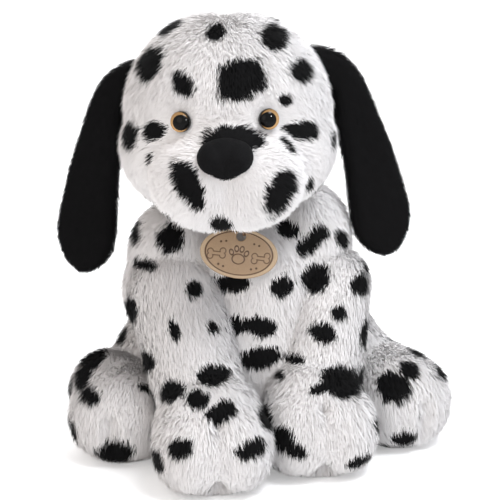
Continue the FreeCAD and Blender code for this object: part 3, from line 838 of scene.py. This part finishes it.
class PLUSHDOG_OT_neck(PieceOperator, bpy.types.Operator):
    """Neck between the head and the torso"""

    bl_idname = "plushdog.neck"
    bl_label = "Neck"

    def build(self, coat, trim):
        bm = bmesh.new()
        add_ball(bm, NECK, (NECK_RADIUS + 4, NECK_RADIUS + 4, NECK_RADIUS))
        skin = stuffed_skin("neck_cloth", bm, SKIN_CELL, 4)
        middle = np.array(NECK) * MM
        lay_coat(
            skin,
            lambda co: (co - middle) * (1, 1, 0) + (0, 0, -0.01),
            lambda co: np.full(len(co), coat.pile * 0.9),
            [],
        )
        grow_pile(skin, "neck", "neck_fur", coat, 21, dense=0.8)
        finish_skin(skin, "neck", coat)


def in_head(point):
    """A point of the head's own frame, in millimetres, as a place in metres."""
    return HEAD_FRAME @ (Vector(point) * MM)


def eye_out(side):
    """Direction of an eye in the head's own frame."""
    flat = math.cos(EYE_LIFT)
    return Vector(
        (side * flat * math.sin(EYE_AZIMUTH), -flat * math.cos(EYE_AZIMUTH), math.sin(EYE_LIFT))
    )


class PLUSHDOG_OT_head(PieceOperator, bpy.types.Operator):
    """Head with its sewn panels and muzzle"""

    bl_idname = "plushdog.head"
    bl_label = "Head"

    def build(self, coat, trim):
        bm = bmesh.new()
        add_ball(bm, (0, 0, 0), (HEAD_RADIUS + 0.5, HEAD_RADIUS, HEAD_RADIUS - 0.5))
        for side in SIDES:
            add_ball(bm, (side * 22, -10, -18), (39, 40, 36))
            add_ball(bm, (side * 14, -48, -29), (27, 27, 25))
            add_ball(bm, (side * 9, -46, -34), (21, 23, 23.5))
        add_limb(
            bm, (-MUZZLE_HALF, *MUZZLE[1:]), MUZZLE_RADIUS, (MUZZLE_HALF, *MUZZLE[1:]), MUZZLE_RADIUS
        )
        add_ball(bm, (0, -52, -14), (18, 18, 18))
        bm.transform(HEAD_FRAME)
        skin = stuffed_skin("head_cloth", bm, SKIN_CELL, SKIN_ROUNDS)
        turn = HEAD_FRAME.to_3x3()
        for side in SIDES:
            out = eye_out(side)
            press(skin, in_head(out * HEAD_RADIUS), 15 * MM, turn @ (out * -2.0 * MM))
        lip = [np.array(in_head(point)) for point in ((0, -76, -27), (0, -72, -52))]
        crease(skin, *lip, 7 * MM, 2.2 * MM)
        inverse = np.array(HEAD_FRAME.inverted())
        frame_turn = np.array(turn)

        def local(points):
            return points @ inverse[:3, :3].T + inverse[:3, 3]

        def flow(co):
            p = local(co)
            away = p - np.array((0, -0.072, -0.012))
            away[:, 2] -= 0.012
            away /= np.linalg.norm(away, axis=1)[:, None]
            down = np.column_stack((p[:, 0] * 7, p[:, 1] * 4, np.full(len(p), -0.75)))
            face = np.clip((-p[:, 1] - 0.030) / 0.02, 0, 1)[:, None]
            top = np.clip(p[:, 2] / 0.02, 0, 1)[:, None]
            field = away * face * (1 - top) + down * (1 - face * (1 - top))
            return field @ frame_turn.T

        eyes = [np.array(in_head(eye_out(side) * HEAD_RADIUS)) for side in SIDES]
        nose = np.array(in_head(NOSE))

        def pile(co):
            near = np.min([np.linalg.norm(co - eye, axis=1) for eye in eyes], axis=0)
            snout = np.linalg.norm(co - nose, axis=1)
            short = np.minimum(np.clip(near / 0.022, 0.28, 1), np.clip(snout / 0.034, 0.55, 1))
            return coat.face_pile * short

        lay_coat(skin, flow, pile, spotted("head", skin, 23, lambda p: p[2] < 0.256))

        def snout_of(p):
            return (np.linalg.norm(p, axis=1) > 0.0605) & (p[:, 1] < -0.02)

        def band(p):
            return (np.abs(p[:, 0]) <= GUSSET_HALF) & ~snout_of(p)

        def throat(p):
            return (p[:, 2] < -0.028) & (p[:, 1] < 0)

        panels = {
            "side_face_left": lambda p: (p[:, 0] > GUSSET_HALF) & ~snout_of(p),
            "side_face_right": lambda p: (p[:, 0] < -GUSSET_HALF) & ~snout_of(p),
            "throat_panel": lambda p: band(p) & throat(p),
            "head_gusset": lambda p: band(p) & ~throat(p),
            "muzzle_panel": lambda p: snout_of(p) & (p[:, 2] >= -0.042),
            "chin_panel": lambda p: snout_of(p) & (p[:, 2] < -0.042),
        }
        for number, (node, choose) in enumerate(panels.items()):
            grow_pile(
                skin, "head", node, coat, 31 + number,
                lambda c, chosen=choose: chosen(local(c)) & eyes_clear(c, eyes), 1.15, 0.85,
            )
        finish_skin(skin, "head", coat)


def eyes_clear(points, eyes):
    """No pile is rooted under an eye."""
    near = np.min([np.linalg.norm(points - eye, axis=1) for eye in eyes], axis=0)
    return near > (EYE_RADIUS + 0.6) * MM


class PLUSHDOG_OT_forelegs(PieceOperator, bpy.types.Operator):
    """Forelegs with their paws"""

    bl_idname = "plushdog.forelegs"
    bl_label = "Forelegs"

    def build(self, coat, trim):
        for side, word in SIDES.items():
            shoulder, paw = Vector(SHOULDER[side]), Vector(FOREPAW[side])
            bm = bmesh.new()
            top = {RIGHT: SHOULDER_RADIUS + 2, LEFT: SHOULDER_RADIUS - 3}[side]
            add_limb(bm, shoulder, top, paw, ANKLE_RADIUS)
            add_limb(
                bm, paw + Vector((0, FOREPAW_HALF, 0)), FOREPAW_RADIUS,
                paw - Vector((0, FOREPAW_HALF, 0)), FOREPAW_RADIUS,
            )
            add_ball(bm, paw + Vector((0, 0, 14)), (28, 25, 24))
            for toe in (-1, 1):
                add_ball(bm, paw + Vector((toe * 13, -FOREPAW_HALF - 4, -1)), (20, 28, 26))
            name = "foreleg_" + word
            skin = stuffed_skin(name + "_cloth", bm, SKIN_CELL, SKIN_ROUNDS)
            front = paw + Vector((0, -FOREPAW_HALF - 31, 0))
            crease(
                skin, (front + Vector((0, 8, 18))) * MM, (front + Vector((0, 8, -20))) * MM, 7.5 * MM, 7 * MM
            )
            rest_on_floor(skin, FLOOR_LIFT)
            start, end = np.array(shoulder) * MM, np.array(paw) * MM

            def flow(co, start=start, end=end):
                along = (end - start) / np.linalg.norm(end - start)
                low = np.clip((0.062 - co[:, 2]) / 0.02, 0, 1)[:, None]
                paw_way = (co - end) * np.array((9, 0, 0)) + np.array((0, -0.45, -1.0))
                return along * (1 - low) + paw_way * low

            def pile(co, end=end):
                off = np.abs(co[:, 0] - end[0]) + 0.03 * (co[:, 1] > end[1] - 0.012)
                groove = np.clip(0.55 + off / 0.009, 0.55, 1)
                return coat.pile * 0.9 * groove * np.clip(0.4 + co[:, 2] / 0.02, 0.4, 1)

            lay_coat(skin, flow, pile, spotted(name, skin, 41 + side))
            grow_pile(skin, name, name + "_fur", coat, 50 + side)
            finish_skin(skin, name, coat)


class PLUSHDOG_OT_hind_legs(PieceOperator, bpy.types.Operator):
    """Haunches and hind paws"""

    bl_idname = "plushdog.hind_legs"
    bl_label = "Hind Legs"

    def build(self, coat, trim):
        for side, word in SIDES.items():
            hip = Vector((side * HIP[0], HIP[1], HIP[2]))
            heel = Vector((side * HEEL[0], HEEL[1], HEEL[2]))
            toe = Vector((side * TOE[0], TOE[1], TOE[2]))
            bm = bmesh.new()
            add_limb(bm, hip, HIP_RADIUS + 1, heel, HINDPAW_RADIUS + 1)
            add_limb(bm, heel, HINDPAW_RADIUS + 1, toe, HINDPAW_RADIUS + 1)
            forward = (toe - heel).normalized()
            across = Vector((-forward.y, forward.x, 0))
            for half in (-1, 1):
                add_ball(bm, toe + across * half * 11 + forward * 4, (18, 22, 24))
            if side == RIGHT:
                add_ball(bm, (-89, -6, 35), (23, 24, 23))
            name = "hind_leg_" + word
            skin = stuffed_skin(name + "_cloth", bm, SKIN_CELL, SKIN_ROUNDS)
            front = toe + forward * 29
            top, low = Vector((0, 0, 8)), Vector((0, 0, -24))
            crease(skin, (front + top) * MM, (front + low) * MM, 8 * MM, 5 * MM)
            rest_on_floor(skin, FLOOR_LIFT)
            middle, way = np.array(heel) * MM, np.array(forward)

            def flow(co, middle=middle, way=way):
                high = np.clip((co[:, 2] - 0.04) / 0.02, 0, 1)[:, None]
                out = (co - middle) * np.array((6, 6, 0)) * (1 - high)
                return out + way * (0.35 + high) + np.array((0, 0, -1.0))

            def pile(co):
                return coat.pile * np.clip(0.4 + co[:, 2] / 0.02, 0.4, 1)

            lay_coat(skin, flow, pile, spotted(name, skin, 61 + side))
            grow_pile(skin, name, name + "_fur", coat, 70 + side)
            finish_skin(skin, name, coat)


class PLUSHDOG_OT_tail(PieceOperator, bpy.types.Operator):
    """Short tail at the back"""

    bl_idname = "plushdog.tail"
    bl_label = "Tail"

    def build(self, coat, trim):
        bm = bmesh.new()
        add_limb(bm, TAIL_ROOT, 10.5, TAIL_TIP, 7)
        skin = stuffed_skin("tail_cloth", bm, 1.2, 6)
        way = np.array(Vector(TAIL_TIP) - Vector(TAIL_ROOT))
        way = way / np.linalg.norm(way)
        lay_coat(
            skin,
            lambda co: np.tile(way, (len(co), 1)),
            lambda co: np.full(len(co), coat.pile * 0.85),
            unseen_spots(skin, [], 19 * MM, 83, lambda p: p[1] > 0.07),
        )
        grow_pile(skin, "tail", "tail_fur", coat, 80)
        finish_skin(skin, "tail", coat)


def joined_copy(bm, node):
    """Adds a merged copy of a CAD node's mesh."""
    other = bmesh.new()
    other.from_mesh(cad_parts[node].data)
    bmesh.ops.remove_doubles(other, verts=other.verts, dist=1e-6)
    mesh = bpy.data.meshes.new(node + "_copy")
    other.to_mesh(mesh)
    other.free()
    bm.from_mesh(mesh)
    bpy.data.meshes.remove(mesh)


class PLUSHDOG_OT_ears(PieceOperator, bpy.types.Operator):
    """Black ears of two layers each"""

    bl_idname = "plushdog.ears"
    bl_label = "Ears"

    def build(self, coat, trim):
        for side, word in SIDES.items():
            name = "ear_" + word
            bm = bmesh.new()
            for layer in ("_front", "_back"):
                joined_copy(bm, name + layer)
            drop = Matrix.Translation(Vector((2 if side == LEFT else 0.5, 0, -3.5)) * MM)
            bm.transform(drop)
            skin = stuffed_skin(name + "_cloth", bm, 1.6, 8)
            low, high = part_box(name + "_front")
            root = np.array((high.x if side < 0 else low.x, (low.y + high.y) / 2, high.z))
            tip = np.array(((low.x if side < 0 else high.x), (low.y + high.y) / 2, low.z))
            way = (tip - root) / np.linalg.norm(tip - root)
            lay_coat(
                skin,
                lambda co, way=way: np.tile(way, (len(co), 1)),
                lambda co: np.full(len(co), coat.ear_pile),
                [], black=True, ruffle=2.2,
            )
            turn = HEAD_FRAME.to_3x3() @ Matrix.Rotation(side * math.radians(15), 3, "Z")
            front_way = np.array(turn @ Vector((0, -1, 0)))
            middle = coordinates(skin.data).mean(0)
            for sign, layer in ((1, "front"), (-1, "back")):
                grow_pile(
                    skin, name, f"{name}_{layer}", coat, 90 + side + 3 * sign,
                    lambda c, s=sign: s * ((c - middle) @ front_way) > 0, 1.15, 0.9, "black_fur",
                )
            finish_skin(skin, name, coat, "black_fur")


def paint_node(node, material):
    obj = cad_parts[node]
    if not obj.material_slots:
        obj.data.materials.append(material)
    for place in obj.material_slots:
        place.material = material


def shell_of_rings(name, rings, closed_middle=True):
    """A closed mesh from rings of points, all of one count; its ends close to their own middles."""
    bm = bmesh.new()
    rows = [[bm.verts.new(point) for point in ring] for ring in rings]
    count = len(rows[0])
    for low, high in zip(rows, rows[1:] + ([] if closed_middle else rows[:1])):
        for k in range(count):
            j = (k + 1) % count
            bm.faces.new((low[k], low[j], high[j], high[k]))
    if closed_middle:
        bm.faces.new(list(reversed(rows[0])))
        bm.faces.new(rows[-1])
    bmesh.ops.recalc_face_normals(bm, faces=bm.faces)
    obj = mesh_object(name, bm)
    obj.data.shade_smooth()
    return obj


def eye_material(trim):
    """Black pupil, an amber crescent on the outer side with painted light, darker at its top and brighter at
    its bottom, and a dark rim, under a clear coat.
    """
    name = "domed_eye"
    if name in bpy.data.materials:
        return bpy.data.materials[name]
    material, tree, shader = blank_material(name, 0.06, Specular_IOR_Level=0.12)
    across, up = attribute(tree, "across"), attribute(tree, "up")

    def distance(shift):
        side = math_node(tree, "ADD", across, shift)
        square = math_node(tree, "MULTIPLY", side, side)
        return math_node(tree, "SQRT", math_node(tree, "MULTIPLY_ADD", up, up, square))

    pupil = math_node(tree, "MULTIPLY_ADD", distance(0.27), 22, -22 * 0.72, clamp=True)
    inside = math_node(tree, "MULTIPLY_ADD", distance(0), -22, 22 * 0.98, clamp=True)
    streaks = noise_at(tree, 1800)
    # painted light: the amber dims towards the top of the eye and brightens towards its bottom; the streaks
    # are the iris's own grain
    glow = math_node(tree, "MULTIPLY_ADD", up, -0.35, 0.8)
    glow = math_node(tree, "MULTIPLY", glow, math_node(tree, "MULTIPLY_ADD", streaks, 0.5, 0.75))
    ring = math_node(tree, "MULTIPLY", math_node(tree, "MULTIPLY", pupil, inside), glow)
    colour = mix_colour(tree, ring, (0.004, 0.004, 0.004, 1), rgba(trim.amber))
    wire(tree, (colour, shader.inputs["Base Color"]))
    return material


def plain_material(name, colour, roughness, grain=0.0, scale=600, **more):
    """One colour with a faint grain in tone and height."""
    material, tree, shader = blank_material(name, roughness, **more)
    found = noise_at(tree, scale, 4)
    gain = math_node(tree, "MULTIPLY_ADD", found, grain, 1 - grain / 2)
    wire(tree, (shade(tree, rgba(colour), gain), shader.inputs["Base Color"]))
    roughen(tree, shader, found, 0.35, 0.3 * MM)
    return material


class PLUSHDOG_OT_eyes(PieceOperator, bpy.types.Operator):
    """Domed eyes on their plates, with washers inside the cloth"""

    bl_idname = "plushdog.eyes"
    bl_label = "Eyes"

    def build(self, coat, trim):
        plate = plain_material("eye_plate", (0.006, 0.006, 0.006), 0.25)
        washer = plain_material("washer_plastic", (0.8, 0.8, 0.78), 0.55, 0.05)
        turn = HEAD_FRAME.to_3x3()
        middle = Vector(HEAD) * MM
        for side, word in SIDES.items():
            paint_node("eye_base_" + word, plate)
            paint_node("eye_washer_" + word, washer)
            axis = turn @ eye_out(side)
            heights = coordinates(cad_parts["eye_dome_" + word].data) @ np.array(axis)
            base = middle + axis * (heights.min() - middle.dot(axis))
            rise = heights.max() - heights.min()
            right = Vector((0, 0, 1)).cross(axis).normalized() * side
            up = (right * side).cross(axis).normalized() * -1
            rings = []
            steps, count = 24, 72
            for step in range(steps):
                a = math.pi / 2 * step / steps
                wide = EYE_RADIUS * MM * math.cos(a)
                rings.append([
                    base + axis * rise * math.sin(a)
                    + (right * math.cos(t) + up * math.sin(t)) * wide
                    for t in (2 * math.pi * k / count for k in range(count))
                ])
            name = "eye_dome_" + word + "_gloss"
            obj = shell_of_rings(name, rings)
            away = coordinates(obj.data) - np.array(base)
            put(obj.data, "across", "FLOAT", away @ np.array(right) / (EYE_RADIUS * MM))
            put(obj.data, "up", "FLOAT", away @ np.array(up) / (EYE_RADIUS * MM))
            dress(obj, "head", "clear_dome", "eye_dome_" + word, material=eye_material(trim))


class PLUSHDOG_OT_nose(PieceOperator, bpy.types.Operator):
    """Rounded nose in short velour"""

    bl_idname = "plushdog.nose"
    bl_label = "Nose"

    def build(self, coat, trim):
        bm = bmesh.new()
        x, y, z = NOSE
        add_ball(bm, (x, y + 1, z + 1.5), (15.5, 11, 10.5))
        for side in SIDES:
            add_ball(bm, (side * 7, y, z + 1), (9, 11.5, 9.5))
        add_ball(bm, (x, y + 0.5, z - 3.3), (13.5, 9.5, 9.3))
        bm.transform(HEAD_FRAME)
        nose = stuffed_skin("nose_velour", bm, 0.7, 10)
        turn = HEAD_FRAME.to_3x3()
        for side in SIDES:
            press(nose, in_head((side * 6.5, y - 10, z - 2)), 4.2 * MM, turn @ Vector((0, 1.3 * MM, 0)))
        press(nose, in_head((0, y - 10, z - 7)), 5 * MM, turn @ Vector((0, 1.2 * MM, 0)), (0.35, 1, 1.8))
        velour = plain_material(
            "nose_velour", (0.0045, 0.0045, 0.005), 0.8, 0.9, 1500,
            Sheen_Weight=0.02, Sheen_Roughness=0.35, Specular_IOR_Level=0.08,
        )
        dress(nose, "head", "black_nose", "nose_pad", fill=0.9, material=velour)


def oval_away(x, y, centre, half, turn=0.0):
    """Distance from an oval's outline, in its own rough measure; negative inside."""
    a = math.radians(turn)
    dx, dy = x - centre[0], y - centre[1]
    u, v = dx * math.cos(a) + dy * math.sin(a), dy * math.cos(a) - dx * math.sin(a)
    return (np.hypot(u / half[0], v / half[1]) - 1) * min(half)


def tag_lines(x, y):
    """Distance from the pressed lines: a paw in the middle, a bone and dots beside it; millimetres."""
    paw = [oval_away(x, y, (0, -3.4), (3.6, 2.9))]
    for across, up, turn in ((-4.4, 0.2, 25), (-1.6, 2.5, 8), (1.6, 2.5, -8), (4.4, 0.2, -25)):
        paw.append(oval_away(x, y, (across, up), (1.15, 1.65), turn))
    lines = np.abs(np.min(paw, axis=0)) - 0.3
    for side in SIDES:
        middle = side * 13
        bone = [np.maximum(np.abs(x - middle) - 3.4, np.abs(y + 1.5) - 1.05)]
        for end in (-1, 1):
            for knob in (-1, 1):
                centre = (side * (13 + end * 3.6), -1.5 + knob * 1.35 + end * side * 0.5)
                bone.append(oval_away(x, y, centre, (1.7, 1.7)))
        lines = np.minimum(lines, np.abs(np.min(bone, axis=0)) - 0.26)
        for dot in (8.2, 11.2):
            for up in (6.4 - 0.22 * (dot - 8), -8.6 + 0.3 * (dot - 8)):
                lines = np.minimum(lines, oval_away(x, y, (side * dot, up), (0.65, 0.65)))
    return lines


class PLUSHDOG_OT_tag(PieceOperator, bpy.types.Operator):
    """Leather tag with a punched hole and pressed lines, on its thread"""

    bl_idname = "plushdog.tag"
    bl_label = "Tag"

    def build(self, coat, trim):
        middle, ways = node_frame("leather_tag")
        co = (coordinates(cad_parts["leather_tag"].data) - middle) @ ways.T
        half = np.abs(co).max(0) * (0.97, 0.98, 1)
        middle = middle + ways[1] * 0.6 * MM - ways[0] * 1.3 * MM
        hole = np.array((0, half[1] - HOLE_DOWN))
        turns = np.linspace(0, 2 * math.pi, 361)[:-1]
        way = np.column_stack((np.cos(turns), np.sin(turns)))
        a = (way[:, 0] / half[0]) ** 2 + (way[:, 1] / half[1]) ** 2
        b = way[:, 0] * hole[0] / half[0] ** 2 + way[:, 1] * hole[1] / half[1] ** 2
        c = (hole[0] / half[0]) ** 2 + (hole[1] / half[1]) ** 2 - 1
        reach = (-b + np.sqrt(b * b - a * c)) / a
        bevel = 0.45 * MM
        top, rings, rows = half[2], [], []

        def ring(share, height, inset=0.0):
            out = HOLE_RADIUS + inset + (reach - 2 * inset - HOLE_RADIUS) * share
            flat = hole + way * out[:, None]
            level = np.full(len(flat), height)
            line, edge = np.zeros(len(flat)), np.full(len(flat), 5.0)
            if height == top:
                x, y = flat[:, 0] / MM, flat[:, 1] / MM
                edge = (1 - np.hypot(flat[:, 0] / half[0], flat[:, 1] / half[1])) * half[1] / MM
                away = np.minimum(tag_lines(x, y), np.abs(edge - BORDER_IN) - BORDER_HALF)
                line = np.clip(0.5 - away / LINE_SLOPE, 0, 1)
                level = level - PRESSED_DEPTH * line
            rows.append((line, edge))
            rings.append([tuple(point) for point in flat @ ways[:2] + level[:, None] * ways[2] + middle])

        for share in np.linspace(0, 1, 84):
            ring(share, top, bevel)
        ring(1, top - bevel)
        ring(1, bevel - top)
        for share in np.linspace(1, 0, 8):
            ring(share, -top, bevel)
        ring(0, bevel - top)
        ring(0, top - bevel)
        tag = shell_of_rings("tag_leather", rings, closed_middle=False)
        line, edge = (np.concatenate(values) for values in zip(*rows))
        put(tag.data, "line", "FLOAT", line)
        put(tag.data, "border", "FLOAT", np.clip(0.5 - (edge - 1.7) / 0.4, 0, 1))
        material, tree, shader = blank_material("tan_leather", 0.5)
        grain = noise_at(tree, 900, 6)
        tone = math_node(tree, "MULTIPLY_ADD", grain, 0.22, 0.89)
        ground = mix_colour(tree, attribute(tree, "border"), rgba(trim.leather), rgba(trim.rim))
        ground = shade(tree, ground, tone)
        colour = mix_colour(tree, attribute(tree, "line"), ground, rgba(trim.pressed))
        wire(tree, (colour, shader.inputs["Base Color"]))
        roughen(tree, shader, grain, 0.4, 0.15 * MM)
        dress(tag, "tag", "tan_leather", "leather_tag", material=material)
        paint_node("tag_loop", plain_material("waxed_thread", (0.16, 0.09, 0.045), 0.6, 0.4, 3000))


class PLUSHDOG_OT_filling(PieceOperator, bpy.types.Operator):
    """Fibre filling inside each stuffed part"""

    bl_idname = "plushdog.filling"
    bl_label = "Filling"

    def build(self, coat, trim):
        material = plain_material("fibre_filling", (0.9, 0.9, 0.89), 0.9, 0.15, 260, Sheen_Weight=0.2)
        for body in ("torso", "neck", "head", "tail"):
            self.fill(body, material)
        for side in SIDES.values():
            self.fill("foreleg_" + side, material)
            self.fill("hind_leg_" + side, material)

    def fill(self, body, material):
        node = body + "_stuffing"
        bm = bmesh.new()
        joined_copy(bm, node)
        obj = stuffed_skin(body + "_filling", bm, 1.5 if body == "tail" else 3.0, 3)
        co, nor = coordinates(obj.data), normals(obj.data)
        lumps = np.array([noise.noise(Vector(p) * 90) for p in co])
        deep = 1.5 if body in ("tail", "neck") else 4.5
        co -= nor * ((deep + 0.8 * lumps) * MM)[:, None]
        if body == "torso":
            co[:, 1] *= 0.8
        move_vertices(obj, co)
        rest_on_floor(obj, 3 * MM)
        dress(obj, body, "stuffing", node, fill=0.8, material=material)


class PLUSHDOG_OT_stage(PieceOperator, bpy.types.Operator):
    """Floor, lamps and camera"""

    bl_idname = "plushdog.stage"
    bl_label = "Stage"

    def build(self, coat, trim):
        scene = bpy.context.scene
        scene.view_settings.view_transform = "Standard"
        bm = bmesh.new()
        bmesh.ops.create_grid(bm, x_segments=8, y_segments=8, size=3)
        floor = mesh_object("floor", bm)
        material, tree, shader = blank_material("floor_paint", 0.6)
        shader.inputs["Base Color"].default_value = (0.93, 0.93, 0.93, 1)
        shader.inputs["Emission Color"].default_value = (1, 1, 1, 1)
        lit = tree.nodes.new("ShaderNodeLightPath").outputs["Is Camera Ray"]
        wire(tree, (math_node(tree, "MULTIPLY", lit, 0.35), shader.inputs["Emission Strength"]))
        floor.data.materials.append(material)

        world = bpy.data.worlds.new("studio")
        scene.world = world
        world.use_nodes = True
        tree = world.node_tree
        background = tree.nodes["Background"]
        paths = tree.nodes.new("ShaderNodeLightPath")
        seen = math_node(tree, "MAXIMUM", paths.outputs["Is Camera Ray"], paths.outputs["Is Glossy Ray"])
        seen = math_node(tree, "MAXIMUM", seen, paths.outputs["Is Transmission Ray"])
        parts = tree.nodes.new("ShaderNodeSeparateXYZ")
        wire(tree, (tree.nodes.new("ShaderNodeTexCoord").outputs["Generated"], parts.inputs[0]))
        across = math_node(tree, "MULTIPLY_ADD", parts.outputs["X"], 0.5, 0.5, clamp=True)
        glow = mix_colour(tree, across, (0.66, 0.61, 0.575, 1), (0.82, 0.85, 0.92, 1))
        colour = mix_colour(tree, seen, glow, (1, 1, 1, 1))
        wire(tree, (colour, background.inputs["Color"]))
        background.inputs["Strength"].default_value = 1.0

        def lamp(name, place, size, power, colour):
            data = bpy.data.lights.new(name, "AREA")
            data.shape = "DISK"
            data.size = size
            data.energy = power
            data.color = colour
            obj = link(bpy.data.objects.new(name, data))
            obj.location = place
            aim = Vector((0, 0, 0.12)) - Vector(place)
            obj.rotation_euler = aim.to_track_quat("-Z", "Y").to_euler()
            return obj

        lamp("key", (0.55, -0.55, 1.7), 0.8, 22, (0.96, 0.98, 1.0))
        lamp("fill", (-1.0, -1.1, 0.7), 1.2, 5, (1.0, 0.92, 0.85))
        lamp("back", (0.3, 1.2, 1.2), 0.9, 8, (1, 1, 1))
        catch = lamp("catch", (0.62, -0.9, 0.71), 0.14, 9, (1, 1, 1))
        catch.visible_diffuse = False

        data = bpy.data.cameras.new("camera")
        data.lens = CAMERA_LENS
        data.sensor_width = 36
        camera = link(bpy.data.objects.new("camera", data))
        camera.location = FRONT_TARGET + FRONT_DIRECTION @ Vector((0, 0, CAMERA_DISTANCE))
        camera.rotation_euler = FRONT_DIRECTION.to_euler()
        scene.camera = camera


class PLUSHDOG_PT_panel(bpy.types.Panel):
    bl_idname = "PLUSHDOG_PT_panel"
    bl_label = "Plush Dog"
    bl_space_type = "VIEW_3D"
    bl_region_type = "UI"
    bl_category = "Plush Dog"

    def draw(self, context):
        for settings in (context.scene.plush_dog_coat, context.scene.plush_dog_trim):
            for name in settings.bl_rna.properties.keys():
                if name not in ("rna_type", "name"):
                    self.layout.prop(settings, name)
        for operator in OPERATORS:
            self.layout.operator(operator.bl_idname)


OPERATORS = (
    PLUSHDOG_OT_torso, PLUSHDOG_OT_neck, PLUSHDOG_OT_head, PLUSHDOG_OT_forelegs,
    PLUSHDOG_OT_hind_legs, PLUSHDOG_OT_tail, PLUSHDOG_OT_ears, PLUSHDOG_OT_eyes,
    PLUSHDOG_OT_nose, PLUSHDOG_OT_tag, PLUSHDOG_OT_filling, PLUSHDOG_OT_stage,
)
CLASSES = (PlushDogCoat, PlushDogTrim, *OPERATORS, PLUSHDOG_PT_panel)


def register():
    for cls in CLASSES:
        bpy.utils.register_class(cls)
    bpy.types.Scene.plush_dog_coat = PointerProperty(type=PlushDogCoat)
    bpy.types.Scene.plush_dog_trim = PointerProperty(type=PlushDogTrim)


def unregister():
    del bpy.types.Scene.plush_dog_coat
    del bpy.types.Scene.plush_dog_trim
    for cls in reversed(CLASSES):
        bpy.utils.unregister_class(cls)


def main():
    register()
    for operator in OPERATORS:
        category, name = operator.bl_idname.split(".")
        getattr(getattr(bpy.ops, category), name)()
    spare = bpy.data.objects.get("pile_blade")
    if spare:
        bpy.data.objects.remove(spare)


if __name__ == "__main__":
    main()
